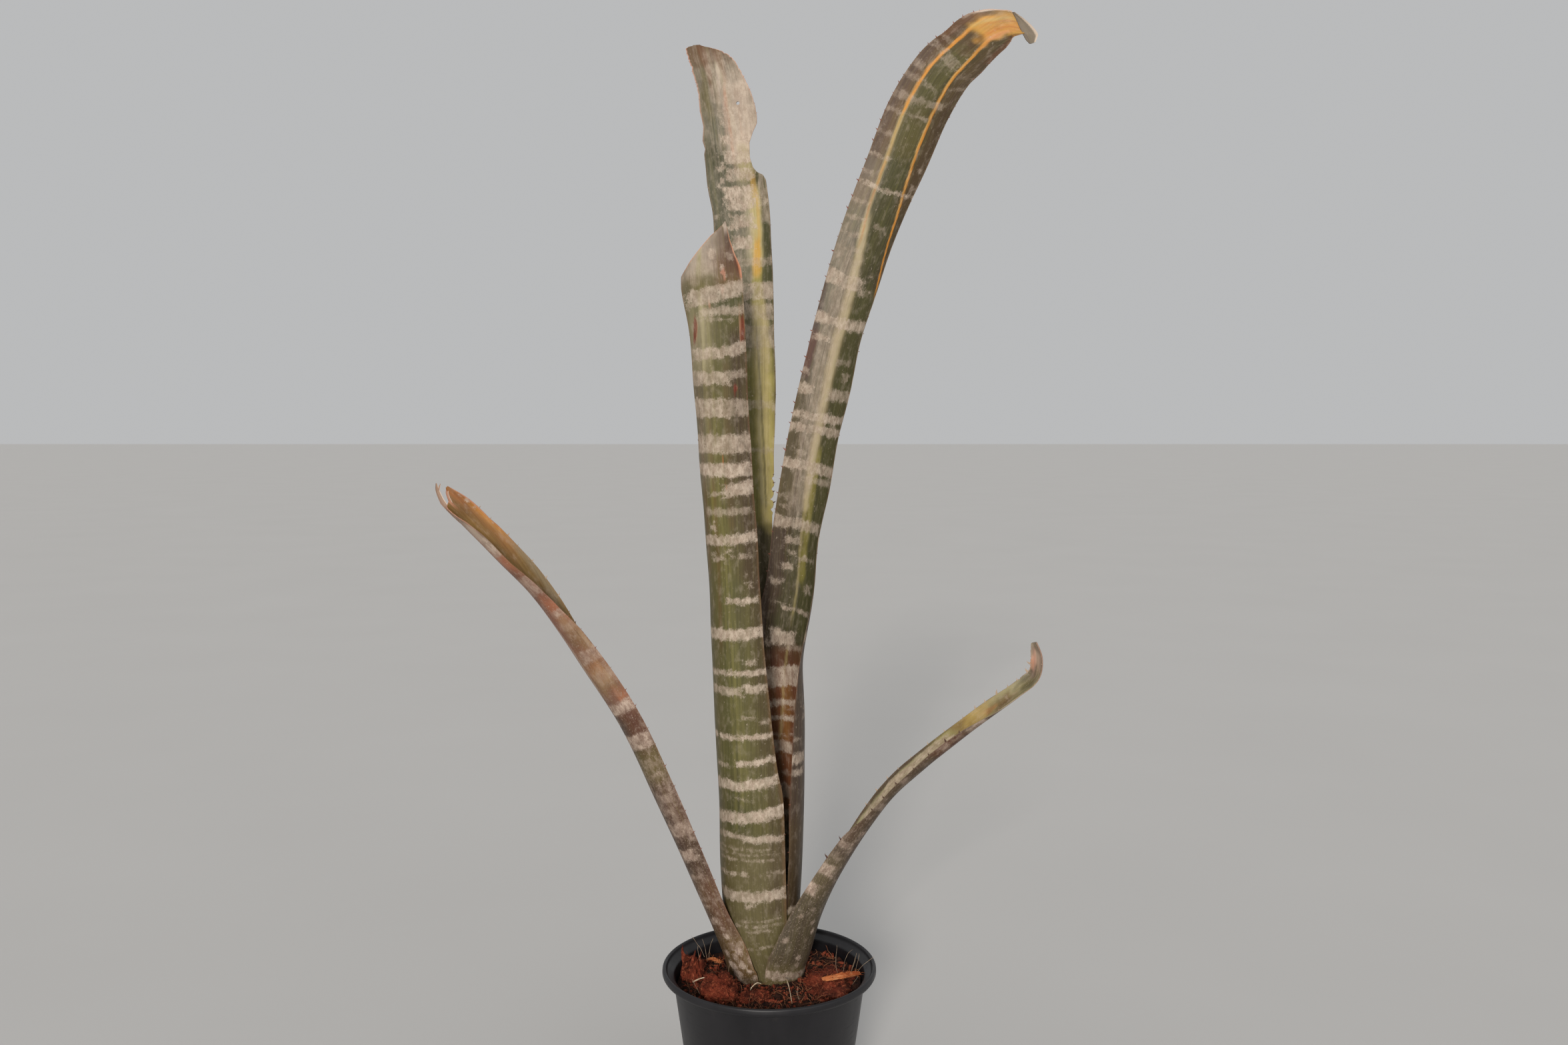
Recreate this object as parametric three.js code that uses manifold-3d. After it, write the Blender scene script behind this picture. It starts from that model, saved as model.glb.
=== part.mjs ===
// A tank bromeliad with banded strap leaves, growing in coir mix in a black nursery pot.
// Millimetres, +Z up. The origin is the middle of the pot's underside, and the view in which
// the leaves spread widest looks along +Y.
import * as THREE from "three";
import { mergeVertices } from "three/addons/utils/BufferGeometryUtils.js";
import Module from "manifold-3d";

const wasm = await Module();
wasm.setup();

// Driving dimensions
const POT_HEIGHT = 125;
const RIM_RADIUS = 75;
const BODY_TOP_RADIUS = 67.5;
const BODY_BASE_RADIUS = 51;
const POT_WALL = 1.5;
const POT_FLOOR = 2;
const LIP_HEIGHT = 7;
const LIP_EDGE = 1.5;
const FOOT_RECESS = 2;
const FOOT_WIDTH = 7;
const CENTRE_PAD_RADIUS = 30;
const DRAIN_COUNT = 8;
const DRAIN_RADIUS = 4;
const DRAIN_CIRCLE = 37;
const MIX_TOP = 112;
const CROWN = { x: -2, y: 18 };
const WELL_RADIUS = 28.8;
const WELL_FLOOR = 100;
const GAP = 0.3;
const LEAF_THICKNESS = 1.5;
const MARGIN_THINNING = 0.45;
const LEAF_SPANS = 8;
const STEPS_BETWEEN_STATIONS = 3;
const ROUND_SEGMENTS = 56;

const POT_BLACK = "#1b191d";
const MIX_BROWN = "#3a1d12";
const COIR_RED = "#7a3318";
const CHIP_OCHRE = "#b06a35";
const ROOT_PALE = "#c9b79a";
const STEM_BROWN = "#6b5a3a";
const LEAF_GREEN = "#5d6239";
const LEAF_GREY = "#8b8172";
const LEAF_BROWN = "#6e5641";

// Each row is a station on a leaf, from its base to its tip: x, y and z of the middle line, half of
// the flat width, the angle that the half width is rolled through, and the compass direction that
// the hollow faces (0 faces -Y and 90 faces +X). Two more values trim the left and right edges, as
// fractions of the half width, where a tip is cut slantwise or a sheath ends short.
const FRONT_LEAF = [
  [-15, 2.5, 104, 29, 84, 140],
  [-18, 0.5, 118, 34.5, 84, 138],
  [-23.5, -1, 145, 39.5, 83, 134],
  [-26.5, -2, 190, 41.5, 82, 133],
  [-27.5, -2, 240, 41, 80, 133],
  [-28.5, -2.5, 268, 36.5, 79, 136],
  [-30, -5.5, 337, 29.5, 74, 144],
  [-30.5, -10, 415, 24.5, 64, 154],
  [-33.5, -16, 501, 21.5, 52, 164],
  [-35.5, -20, 563, 21, 42, 170],
  [-38.5, -22, 593, 22, 38, 172],
  [-39.5, -23, 606, 22, 36, 172, 0.94, 1],
  [-40.5, -24, 619, 21.5, 35, 172, 0.22, 0.8],
  [-41.5, -25, 634.5, 21.5, 34, 172, -0.6, 0.64],
];
const BACK_LEFT_LEAF = [
  [-6.5, 40, 104, 24.5, 62, 12],
  [-8, 43.5, 118, 26.5, 58, 12],
  [-9.5, 48, 145, 27.5, 52, 10],
  [-11, 51, 190, 27, 46, 10],
  [-12, 52, 260, 25.5, 42, 10],
  [-18, 54, 326, 27.5, 36, 7],
  [-19.5, 56, 399, 27, 32, 5],
  [-20, 58, 486, 26, 32, 3],
  [-19.5, 61, 568, 24, 32, 1],
  [-19.5, 65, 642, 21.5, 32, 0],
  [-24, 68, 681, 22.5, 31, 0],
  [-29.5, 71, 728, 21.5, 30, 0],
  [-32.5, 72, 748, 22, 28, 0, 0.8, 1],
  [-35.5, 73, 760, 22.5, 27, 0, 0.6, 1],
  [-38.5, 74, 771, 22.5, 26, 0, 0.05, 1],
  [-39.5, 74, 777, 22.5, 26, 0, -0.6, 0.9],
];
const RIGHT_TALL_LEAF = [
  [10.5, 24.5, 104, 19.5, 80, -62],
  [14, 26.5, 118, 26, 80, -62],
  [17, 29, 145, 32.5, 79, -62],
  [19.5, 30.5, 190, 36, 78, -62],
  [21, 31, 250, 37, 77, -62],
  [20, 32.5, 300, 34, 71, -58],
  [16.5, 38.5, 343, 31.5, 60, -48],
  [22, 38.5, 387, 27, 54, -44],
  [26, 38.5, 430, 25, 50, -41],
  [37.5, 39, 499, 25.5, 45, -38],
  [53, 41, 569, 25.5, 42, -36],
  [72.5, 44, 632, 25.5, 39, -35],
  [92.5, 47, 682, 26.5, 36, -35],
  [108, 50, 720, 27.5, 34, -35],
  [123.5, 53, 747, 26.5, 30, -36],
  [139, 56, 763, 25, 28, -38],
  [155.5, 59, 777, 22.5, 25, -40],
  [169.5, 61, 784.5, 12, 23, -42],
  [183, 63, 783.5, 3.5, 20, -44],
];
const LOWER_LEFT_LEAF = [
  [-25.5, 8.5, 106, 25.5, 58, 112, 0.68, 1],
  [-29, 8.5, 119, 28, 57, 110, 0.68, 1],
  [-33, 6, 133, 24, 66, 112, 0.8, 1],
  [-42.5, 3.5, 158, 18.5, 74, 113],
  [-57.5, -0.5, 195, 18.5, 78, 115],
  [-79, -6, 247, 19.5, 80, 116],
  [-101, -12, 297, 20.5, 80, 115],
  [-128.5, -18, 343, 22, 78, 110],
  [-153, -24, 382, 21, 74, 98],
  [-176.5, -29, 413, 16, 68, 76],
  [-196.5, -32, 437.5, 12, 60, 60],
  [-215.5, -35, 458.5, 5, 46, 48],
];
const LOWER_RIGHT_LEAF = [
  [19, 4.5, 106, 26, 60, -123],
  [22, 4, 119, 30, 62, -120],
  [26, 3, 130, 30.5, 66, -119],
  [35, 0, 160, 23.5, 74, -118],
  [49, -4, 191, 18.5, 80, -114],
  [68.5, -9, 224.5, 17, 84, -109],
  [86.5, -14, 250, 16, 84, -103],
  [106.5, -19, 270.5, 13.5, 82, -95],
  [130, -24, 292.5, 10.5, 76, -85],
  [149.5, -28, 310, 8.5, 68, -75],
  [167, -31, 324.5, 7, 60, -67],
  [178, -33, 335.5, 6.5, 52, -62],
  [180, -34, 348, 5.5, 46, -60],
  [177, -34, 359, 1.5, 40, -60],
];

const radians = THREE.MathUtils.degToRad;

function finish(colour, roughness) {
  return new THREE.MeshStandardMaterial({ color: colour, roughness, metalness: 0 });
}

function part(name, geometry, material) {
  const mesh = new THREE.Mesh(geometry, material);
  mesh.name = name;
  return mesh;
}

// Shared helpers for closed bodies
function volumeOf(geometry) {
  const p = geometry.attributes.position;
  const index = geometry.index;
  const [a, b, c] = [new THREE.Vector3(), new THREE.Vector3(), new THREE.Vector3()];
  let sum = 0;
  for (let i = 0; i < index.count; i += 3) {
    a.fromBufferAttribute(p, index.getX(i));
    b.fromBufferAttribute(p, index.getX(i + 1));
    c.fromBufferAttribute(p, index.getX(i + 2));
    sum += a.dot(b.cross(c));
  }
  return sum / 6;
}

function welded(geometry) {
  geometry.deleteAttribute("normal");
  geometry.deleteAttribute("uv");
  const solid = mergeVertices(geometry, 1e-4);
  if (volumeOf(solid) < 0) {
    const order = Array.from(solid.index.array).reverse();
    solid.setIndex(order);
  }
  return solid;
}

function asManifold(geometry) {
  const solid = welded(geometry);
  const vertProperties = new Float32Array(solid.attributes.position.array);
  const triVerts = new Uint32Array(solid.index.array);
  return new wasm.Manifold(new wasm.Mesh({ numProp: 3, vertProperties, triVerts }));
}

function asGeometry(manifold) {
  const mesh = manifold.getMesh();
  const geometry = new THREE.BufferGeometry();
  geometry.setAttribute("position", new THREE.BufferAttribute(new Float32Array(mesh.vertProperties), 3));
  geometry.setIndex(Array.from(mesh.triVerts));
  return geometry;
}

// A profile of [radius, height] pairs turned about Z
function turned(profile, segments = ROUND_SEGMENTS) {
  const points = profile.map(([radius, height]) => new THREE.Vector2(radius, height));
  return new THREE.LatheGeometry(points, segments).rotateX(Math.PI / 2);
}

// An upright round bar, used as a cutter
function bar(radius, bottom, top, x, y, segments = 24) {
  const profile = [[0, bottom], [radius, bottom], [radius, top], [0, top]];
  return turned(profile, segments).translate(x, y, 0);
}

function bodyRadius(height) {
  const share = height / (POT_HEIGHT - LIP_HEIGHT);
  return THREE.MathUtils.lerp(BODY_BASE_RADIUS, BODY_TOP_RADIUS, share);
}

// Pot: tapered wall, flared lip, foot ring, centre pad and drain holes in the recess between them
function potGeometry() {
  const lipStart = POT_HEIGHT - LIP_HEIGHT;
  const footInner = BODY_BASE_RADIUS - FOOT_WIDTH;
  const floorTop = FOOT_RECESS + POT_FLOOR;
  const profile = [
    [0, 0],
    [CENTRE_PAD_RADIUS, 0],
    [CENTRE_PAD_RADIUS + 1, FOOT_RECESS],
    [footInner - 1, FOOT_RECESS],
    [footInner, 0],
    [BODY_BASE_RADIUS - 1.5, 0],
    [BODY_BASE_RADIUS, 1.5],
    [bodyRadius(lipStart), lipStart],
    [RIM_RADIUS - 1.5, lipStart + 1.2],
    [RIM_RADIUS, lipStart + 3.2],
    [RIM_RADIUS - 0.3, POT_HEIGHT - 0.9],
    [RIM_RADIUS - 1.2, POT_HEIGHT],
    [RIM_RADIUS - 1.2 - LIP_EDGE, POT_HEIGHT - 0.5],
    [RIM_RADIUS - 3.4, lipStart + 4],
    [bodyRadius(lipStart) - POT_WALL + 0.6, lipStart + 1.2],
    [bodyRadius(lipStart) - POT_WALL, lipStart - 2],
    [bodyRadius(floorTop) - POT_WALL, floorTop],
    [0, floorTop],
  ];
  let pot = asManifold(turned(profile));
  for (let k = 0; k < DRAIN_COUNT; k += 1) {
    const turn = (k / DRAIN_COUNT) * 2 * Math.PI;
    const x = DRAIN_CIRCLE * Math.cos(turn);
    const y = DRAIN_CIRCLE * Math.sin(turn);
    pot = pot.subtract(asManifold(bar(DRAIN_RADIUS, -1, floorTop + 1, x, y, 12)));
  }
  return asGeometry(pot);
}

// Coir mix: fills the pot to a little under the rim, with a well where the crown sits
function mixGeometry() {
  const bottom = FOOT_RECESS + POT_FLOOR + GAP;
  const clearance = POT_WALL + GAP + 0.2;
  const profile = [
    [0, bottom],
    [bodyRadius(bottom) - clearance, bottom],
    [bodyRadius(MIX_TOP) - clearance, MIX_TOP],
    [0, MIX_TOP],
  ];
  const well = bar(WELL_RADIUS, WELL_FLOOR, MIX_TOP + 1, CROWN.x, CROWN.y, 40);
  return asGeometry(asManifold(turned(profile)).subtract(asManifold(well)));
}

// Stem: the short rootstock under the leaf bases and the core that they wrap
function stemGeometry() {
  const foot = WELL_FLOOR + GAP;
  const profile = [
    [0, foot],
    [22, foot],
    [24, foot + 1],
    [23, foot + 3],
    [13, foot + 3.2],
    [12.2, foot + 6],
    [13.5, MIX_TOP],
    [12, MIX_TOP + 9],
    [7, MIX_TOP + 15],
    [0, MIX_TOP + 17],
  ];
  return welded(turned(profile, 32).translate(CROWN.x, CROWN.y, 0));
}

// Catmull-Rom blend of all the values of four neighbouring stations
function blend(before, from, to, after, t) {
  return from.map((value, k) => {
    const slope = to[k] - before[k];
    const bend = 2 * before[k] - 5 * value + 4 * to[k] - after[k];
    const turn = 3 * value - before[k] - 3 * to[k] + after[k];
    return value + 0.5 * t * (slope + t * (bend + t * turn));
  });
}

function beyond(end, inside) {
  return end.map((value, k) => 2 * value - inside[k]);
}

function fineStations(stations) {
  const rows = stations.map((row) => (row.length === 6 ? [...row, 1, 1] : row));
  const last = rows.length - 1;
  const padded = [beyond(rows[0], rows[1]), ...rows, beyond(rows[last], rows[last - 1])];
  const fine = [];
  for (let i = 1; i <= last; i += 1) {
    for (let k = 0; k < STEPS_BETWEEN_STATIONS; k += 1) {
      const t = k / STEPS_BETWEEN_STATIONS;
      fine.push(blend(padded[i - 1], padded[i], padded[i + 1], padded[i + 2], t));
    }
  }
  fine.push(rows[last]);
  return fine;
}

// The direction that the hollow faces, square to the middle line, and the leaf's own right
function directions(fine, i) {
  const next = new THREE.Vector3(...fine[Math.min(i + 1, fine.length - 1)]);
  const along = next.sub(new THREE.Vector3(...fine[Math.max(i - 1, 0)])).normalize();
  const compass = radians(fine[i][5]);
  const face = new THREE.Vector3(Math.sin(compass), -Math.cos(compass), 0);
  face.addScaledVector(along, -face.dot(along)).normalize();
  return { face, side: new THREE.Vector3().crossVectors(face, along) };
}

// One cross-section: an arc of the leaf's width, outer skin left to right, then inner skin back
function section(fine, i) {
  const [x, y, z, half, curl, , left, right] = fine[i];
  const { face, side } = directions(fine, i);
  const middle = new THREE.Vector3(x, y, z);
  const roll = radians(curl);
  const radius = half / roll;
  const outer = [];
  const inner = [];
  for (let j = 0; j <= LEAF_SPANS; j += 1) {
    const across = -left + ((left + right) * j) / LEAF_SPANS;
    const angle = across * roll;
    const onArc = middle.clone();
    onArc.addScaledVector(face, radius * (1 - Math.cos(angle)));
    onArc.addScaledVector(side, radius * Math.sin(angle));
    const inward = face.clone().multiplyScalar(Math.cos(angle));
    inward.addScaledVector(side, -Math.sin(angle));
    const edge = Math.abs((2 * j) / LEAF_SPANS - 1);
    const reach = 0.5 * LEAF_THICKNESS * (1 - MARGIN_THINNING * edge * edge);
    outer.push(onArc.clone().addScaledVector(inward, -reach));
    inner.push(onArc.clone().addScaledVector(inward, reach));
  }
  return [...outer, ...inner.reverse()];
}

function leafGeometry(stations) {
  const fine = fineStations(stations);
  const loops = fine.map((_, i) => section(fine, i));
  const size = loops[0].length;
  const index = [];
  for (let i = 0; i < loops.length - 1; i += 1) {
    for (let j = 0; j < size; j += 1) {
      const a = i * size + j;
      const b = i * size + ((j + 1) % size);
      index.push(a, b, b + size, a, b + size, a + size);
    }
  }
  const lastLoop = (loops.length - 1) * size;
  for (let j = 0; j < size / 2 - 1; j += 1) {
    const facing = size - 1 - j;
    index.push(j, facing, facing - 1, j, facing - 1, j + 1);
    index.push(lastLoop + j, lastLoop + facing - 1, lastLoop + facing);
    index.push(lastLoop + j, lastLoop + j + 1, lastLoop + facing - 1);
  }
  const geometry = new THREE.BufferGeometry();
  geometry.setFromPoints(loops.flat());
  geometry.setIndex(index);
  return welded(geometry);
}

// A ragged lump with a flat underside: a ball pushed in and out by a few waves
function lumpGeometry({ x, y, width, depth, height, phase, roughness = 0.16, top = Infinity }) {
  const ball = welded(new THREE.IcosahedronGeometry(1, 2));
  const p = ball.attributes.position;
  const v = new THREE.Vector3();
  for (let i = 0; i < p.count; i += 1) {
    v.fromBufferAttribute(p, i);
    const wave = Math.sin(4.1 * v.x + phase) * Math.cos(3.7 * v.y - phase) + Math.sin(5.3 * v.z + 2 * phase);
    const swell = 1 - roughness + 0.5 * roughness * wave;
    const rise = v.z < 0 ? 0.05 * v.z : v.z;
    const z = MIX_TOP + GAP + 0.05 * height + rise * swell * height;
    p.setXYZ(i, x + 0.5 * width * v.x * swell, y + 0.5 * depth * v.y * swell, Math.min(z, top));
  }
  return welded(ball);
}

// A split chip of bark or husk: a thin slab with a wavy outline, tilted where it lies
function chipGeometry({ length, width, thickness, at, turn, tilt }) {
  const outline = new THREE.Shape();
  const corners = [
    [-0.5, -0.1], [-0.36, -0.42], [0, -0.5], [0.34, -0.38],
    [0.5, 0.05], [0.3, 0.4], [-0.05, 0.46], [-0.4, 0.34],
  ];
  outline.setFromPoints(corners.map(([u, v]) => new THREE.Vector2(u * length, v * width)));
  const slab = new THREE.ExtrudeGeometry(outline, { depth: thickness, bevelEnabled: false });
  slab.rotateX(radians(tilt)).rotateZ(radians(turn)).translate(...at);
  return welded(slab);
}

// A thin strand along a curve through a few points
function strandGeometry(points, radius, steps) {
  const path = new THREE.CatmullRomCurve3(points.map((point) => new THREE.Vector3(...point)));
  const ring = new THREE.Shape();
  ring.absarc(0, 0, radius, 0, 2 * Math.PI);
  const options = { extrudePath: path, steps, bevelEnabled: false, curveSegments: 4 };
  return welded(new THREE.ExtrudeGeometry(ring, options));
}

const plant = new THREE.Group();

plant.add(part("pot", potGeometry(), finish(POT_BLACK, 0.45)));
plant.add(part("potting_mix", mixGeometry(), finish(MIX_BROWN, 1)));
plant.add(part("stem", stemGeometry(), finish(STEM_BROWN, 0.9)));

plant.add(part("leaf_front", leafGeometry(FRONT_LEAF), finish(LEAF_GREY, 0.6)));
plant.add(part("leaf_back_left", leafGeometry(BACK_LEFT_LEAF), finish(LEAF_GREEN, 0.6)));
plant.add(part("leaf_right_tall", leafGeometry(RIGHT_TALL_LEAF), finish(LEAF_GREEN, 0.6)));
plant.add(part("leaf_lower_left", leafGeometry(LOWER_LEFT_LEAF), finish(LEAF_BROWN, 0.65)));
plant.add(part("leaf_lower_right", leafGeometry(LOWER_RIGHT_LEAF), finish(LEAF_BROWN, 0.65)));

const chunks = {
  coir_chunk_left: { x: -55.5, y: 4, width: 16, depth: 18, height: 24, phase: 0.4, roughness: 0.22 },
  coir_chunk_front_left: { x: -34, y: -28, width: 25, depth: 22, height: 21, phase: 2.1 },
  coir_chunk_front: { x: -10, y: -32, width: 19, depth: 14, height: 8, phase: 3.3 },
  coir_mound_right: { x: 44.5, y: -5, width: 37, depth: 58, height: 9, phase: 1.2, top: 117 },
};
for (const [name, chunk] of Object.entries(chunks)) {
  plant.add(part(name, lumpGeometry(chunk), finish(COIR_RED, 1)));
}

const chipRight = { length: 29, width: 9, thickness: 3.5, at: [50, -9, 117 + GAP], turn: 20, tilt: 0 };
plant.add(part("bark_chip_right", chipGeometry(chipRight), finish(CHIP_OCHRE, 0.95)));
const chipLeft = { length: 12, width: 6, thickness: 2, at: [-40.5, 24, 115], turn: -25, tilt: 25 };
plant.add(part("bark_chip_left", chipGeometry(chipLeft), finish(CHIP_OCHRE, 0.95)));

const twig = [[-53, -12, 116.5], [-48, -9, 117.6], [-42, -7.5, 118.5]];
plant.add(part("twig_left", strandGeometry(twig, 0.8, 8), finish(ROOT_PALE, 0.9)));
const rootLeft = [[-5.8, -12.3, 115.4], [-8.5, -15, 117], [-12, -19, 115.6], [-13.5, -22.5, 112.9]];
plant.add(part("root_front_left", strandGeometry(rootLeft, 0.5, 12), finish(ROOT_PALE, 0.8)));
const rootRight = [[10.8, -8.6, 117.5], [12.2, -15, 119], [14, -26, 117.5], [15.7, -38.5, 113]];
plant.add(part("root_front_right", strandGeometry(rootRight, 0.5, 14), finish(ROOT_PALE, 0.8)));

export default plant;
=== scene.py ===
"""A tank bromeliad in a black nursery pot: fine leaf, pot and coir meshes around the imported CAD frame."""
import math
import random

import bmesh
import bpy
import numpy as np
from mathutils import Matrix, Vector, noise


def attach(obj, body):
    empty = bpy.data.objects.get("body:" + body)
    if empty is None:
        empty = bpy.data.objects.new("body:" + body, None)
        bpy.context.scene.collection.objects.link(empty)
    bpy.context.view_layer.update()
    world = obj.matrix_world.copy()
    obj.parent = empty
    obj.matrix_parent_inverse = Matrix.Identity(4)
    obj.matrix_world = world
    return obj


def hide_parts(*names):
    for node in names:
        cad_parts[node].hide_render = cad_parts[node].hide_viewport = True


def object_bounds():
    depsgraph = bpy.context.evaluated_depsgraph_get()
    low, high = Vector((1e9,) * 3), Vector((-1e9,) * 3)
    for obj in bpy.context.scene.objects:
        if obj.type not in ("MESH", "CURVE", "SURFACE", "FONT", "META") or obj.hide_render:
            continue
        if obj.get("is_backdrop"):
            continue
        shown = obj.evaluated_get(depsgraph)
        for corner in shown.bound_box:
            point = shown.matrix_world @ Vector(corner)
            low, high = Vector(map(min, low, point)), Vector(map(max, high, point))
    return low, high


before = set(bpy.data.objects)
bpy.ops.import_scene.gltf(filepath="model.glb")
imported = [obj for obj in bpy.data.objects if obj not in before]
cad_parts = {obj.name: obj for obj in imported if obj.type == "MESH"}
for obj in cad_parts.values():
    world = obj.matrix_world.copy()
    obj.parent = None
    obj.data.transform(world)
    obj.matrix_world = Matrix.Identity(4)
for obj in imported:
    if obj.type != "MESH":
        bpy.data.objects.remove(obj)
cad_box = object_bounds()

MM = 0.001

# Driving dimensions of the pot and the mix, in millimetres
POT_HEIGHT = 125.0
RIM_RADIUS = 75.0
BODY_TOP_RADIUS = 67.5
BODY_BASE_RADIUS = 51.0
POT_WALL = 1.5
LIP_HEIGHT = 7.0
FLOOR_TOP = 4.0
FOOT_RECESS = 2.0
FOOT_WIDTH = 7.0
STACK_STEP = 26.0
CENTRE_PAD_RADIUS = 30.0
DRAIN_COUNT = 8
DRAIN_RADIUS = 4.0
DRAIN_CIRCLE = 37.0
MIX_TOP = 112.0

# Details of the pot, the mix and its litter: counts, reaches in millimetres, an angle in degrees
POT_SEGMENTS = 168
POT_SHARP = 35
MIX_RINGS = 62
MIX_SEGMENTS = 300
LITTER_SEED = 77
GRAIN_COUNT = 620
GRAIN_REACH = 61.5
FIBRE_COUNT = 520
FIBRE_REACH = 60.0
FIBRE_LIMIT = 62.5
FIBRE_RISE = 9.0
HAIR_SEED = 91
LUMP_LIMIT = 64.0
FLAKE_LIMIT = 66.0
CHIP_LONG = 46
CHIP_WIDE = 20
CHIP_FIBRES = 26

# Leaf meshes: counts, and lengths in millimetres
SAMPLES_PER_STATION = 60
ROW_STEP = 1.2
TIP_STEP = 0.6
TIP_ZONE = 60.0
TEAR_ZONE = 60.0
LEAF_THICKNESS = 1.15
MARGIN_THICKNESS = 0.4
LEAF_WAVE = 45.0
WAVE_HEIGHT = 0.35
RIB_SPACING = 2.6
RIB_HEIGHT = 0.05
DETAIL_SPAN = 13
SPINE_SIDES = 6
FLAP_LONG = 16
FLAP_WIDE = 10

# Painting, in millimetres, and the steepness of a band's end
RIPPLE_WIDTH = 25.0
STROKE_RIPPLE = 14.0
PATCH_RIPPLE = 16.0
BAND_END = 0.45
NO_SILVER = -6.0
INNER_LEVEL = 9.0
FLAP_PLACE = 700.0

# Linear colours
SILVER = (0.56, 0.455, 0.360)
SILVER_SHADE = (0.36, 0.272, 0.207)
OLD_SILVER = (0.50, 0.385, 0.305)
OLD_SHADE = (0.25, 0.170, 0.130)
POWDER_LIGHT = (0.64, 0.545, 0.43)
POWDER_DARK = (0.22, 0.16, 0.115)
GREEN = (0.072, 0.068, 0.025)
DEEP_GREEN = (0.048, 0.048, 0.019)
HAZE = (0.100, 0.098, 0.062)
FRESH = (0.165, 0.146, 0.048)
OLIVE = (0.118, 0.094, 0.028)
OLIVE_YELLOW = (0.300, 0.255, 0.060)
# Purple-brown: the purple of the margins, and on the front leaf also painted shade where its rolled edge
# turns away from the light
PURPLE_AND_SHADE = (0.056, 0.031, 0.020)
MAROON = (0.105, 0.030, 0.015)
BROWN = (0.140, 0.062, 0.025)
CREAM = (0.37, 0.32, 0.185)
GREY = (0.225, 0.185, 0.145)
ORANGE = (0.64, 0.26, 0.036)
YELLOW = (0.52, 0.42, 0.175)
AMBER = (0.58, 0.31, 0.040)
RUST = (0.46, 0.14, 0.045)
SCAR = (0.16, 0.026, 0.012)
PINK = (0.60, 0.27, 0.18)
PALE = (0.62, 0.50, 0.40)
# Painted shade: a near-black brown laid over the leaves where they lie in shadow, not a colour of the leaf
# itself
PAINTED_SHADE = (0.040, 0.029, 0.021)
MOSS = (0.125, 0.100, 0.045)
TAN = (0.45, 0.36, 0.185)
DARK_SPINE = (0.075, 0.035, 0.026)
RED_SPINE = (0.22, 0.07, 0.045)
PALE_SPINE = (0.45, 0.33, 0.24)
RIB_LIGHT = (0.26, 0.23, 0.08)
RIB_DARK = (0.018, 0.014, 0.006)
FINE_RIB_DARK = (0.016, 0.012, 0.006)
CLOUD = (0.050, 0.032, 0.016)
PLASTIC_DARK = (0.0060, 0.0055, 0.0068)
PLASTIC_LIGHT = (0.0120, 0.0108, 0.0128)
DUST = (0.070, 0.058, 0.053)
FLOOR_DARK = (0.55, 0.54, 0.525)
FLOOR_LIGHT = (0.58, 0.57, 0.555)

# Each station: x, y and z of the middle line, half the flat width, the angle that the half width is
# rolled through, and the compass direction that the hollow faces (0 faces -Y, 90 faces +X).
FRONT_STATIONS = [
    (-15, 2.5, 104, 29, 84, 140), (-18, 0.5, 118, 34.5, 84, 138), (-23.5, -1, 145, 39.5, 83, 134),
    (-26.5, -2, 190, 41.5, 82, 133), (-27.5, -2, 240, 41, 80, 133), (-28.5, -2.5, 268, 36.5, 79, 136),
    (-30, -5.5, 337, 29.5, 74, 144), (-30.5, -10, 415, 24.5, 64, 154), (-33.5, -16, 501, 21.5, 52, 164),
    (-35.5, -20, 563, 21, 42, 170), (-38.5, -22, 593, 22, 38, 172), (-39.5, -23, 606, 22, 36, 172),
    (-40.5, -24, 619, 21.5, 35, 172), (-41.5, -25, 634.5, 21.5, 34, 172),
]
BACK_STATIONS = [
    (-6.5, 40, 104, 24.5, 62, 12), (-8, 43.5, 118, 26.5, 58, 12), (-9.5, 48, 145, 27.5, 52, 10),
    (-11, 51, 190, 27, 46, 10), (-12, 52, 260, 25.5, 42, 10), (-18, 54, 326, 27.5, 36, 7),
    (-19.5, 56, 399, 27, 32, 5), (-20, 58, 486, 26, 32, 3), (-19.5, 61, 568, 24, 32, 1),
    (-19.5, 65, 642, 21.5, 32, 0), (-24, 68, 681, 22.5, 31, 0), (-29.5, 71, 728, 21.5, 30, 0),
    (-32.5, 72, 748, 22, 28, 0), (-35.5, 73, 760, 22.5, 27, 0), (-38.5, 74, 771, 22.5, 26, 0),
    (-39.5, 74, 777, 22.5, 26, 0),
]
TALL_STATIONS = [
    (10.5, 24.5, 104, 19.5, 80, -62), (14, 26.5, 118, 26, 80, -62), (17, 29, 145, 32.5, 79, -62),
    (19.5, 30.5, 190, 36, 78, -62), (21, 31, 250, 37, 77, -62), (20, 32.5, 300, 34, 71, -58),
    (16.5, 38.5, 343, 31.5, 60, -48), (22, 38.5, 387, 27, 54, -44), (26, 38.5, 430, 25, 50, -41),
    (37.5, 39, 499, 25.5, 45, -38), (53, 41, 569, 25.5, 42, -36), (72.5, 44, 632, 25.5, 39, -35),
    (92.5, 47, 682, 26.5, 36, -35), (108, 50, 720, 27.5, 34, -35), (123.5, 53, 747, 26.5, 30, -36),
    (139, 56, 763, 25, 28, -38), (155.5, 59, 777, 22.5, 25, -40), (169.5, 61, 784.5, 12, 23, -42),
    (183, 63, 783.5, 3.5, 20, -44),
]
LOWER_LEFT_STATIONS = [
    (-25.5, 8.5, 106, 25.5, 58, 112), (-29, 8.5, 119, 28, 57, 110), (-33, 6, 133, 24, 66, 112),
    (-42.5, 3.5, 158, 18.5, 74, 113), (-57.5, -0.5, 195, 18.5, 78, 115), (-79, -6, 247, 19.5, 80, 116),
    (-101, -12, 297, 20.5, 80, 115), (-128.5, -18, 343, 22, 78, 110), (-153, -24, 382, 21, 74, 98),
    (-176.5, -29, 413, 16, 68, 76), (-196.5, -32, 437.5, 12, 60, 60), (-215.5, -35, 458.5, 5, 46, 48),
]
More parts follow.
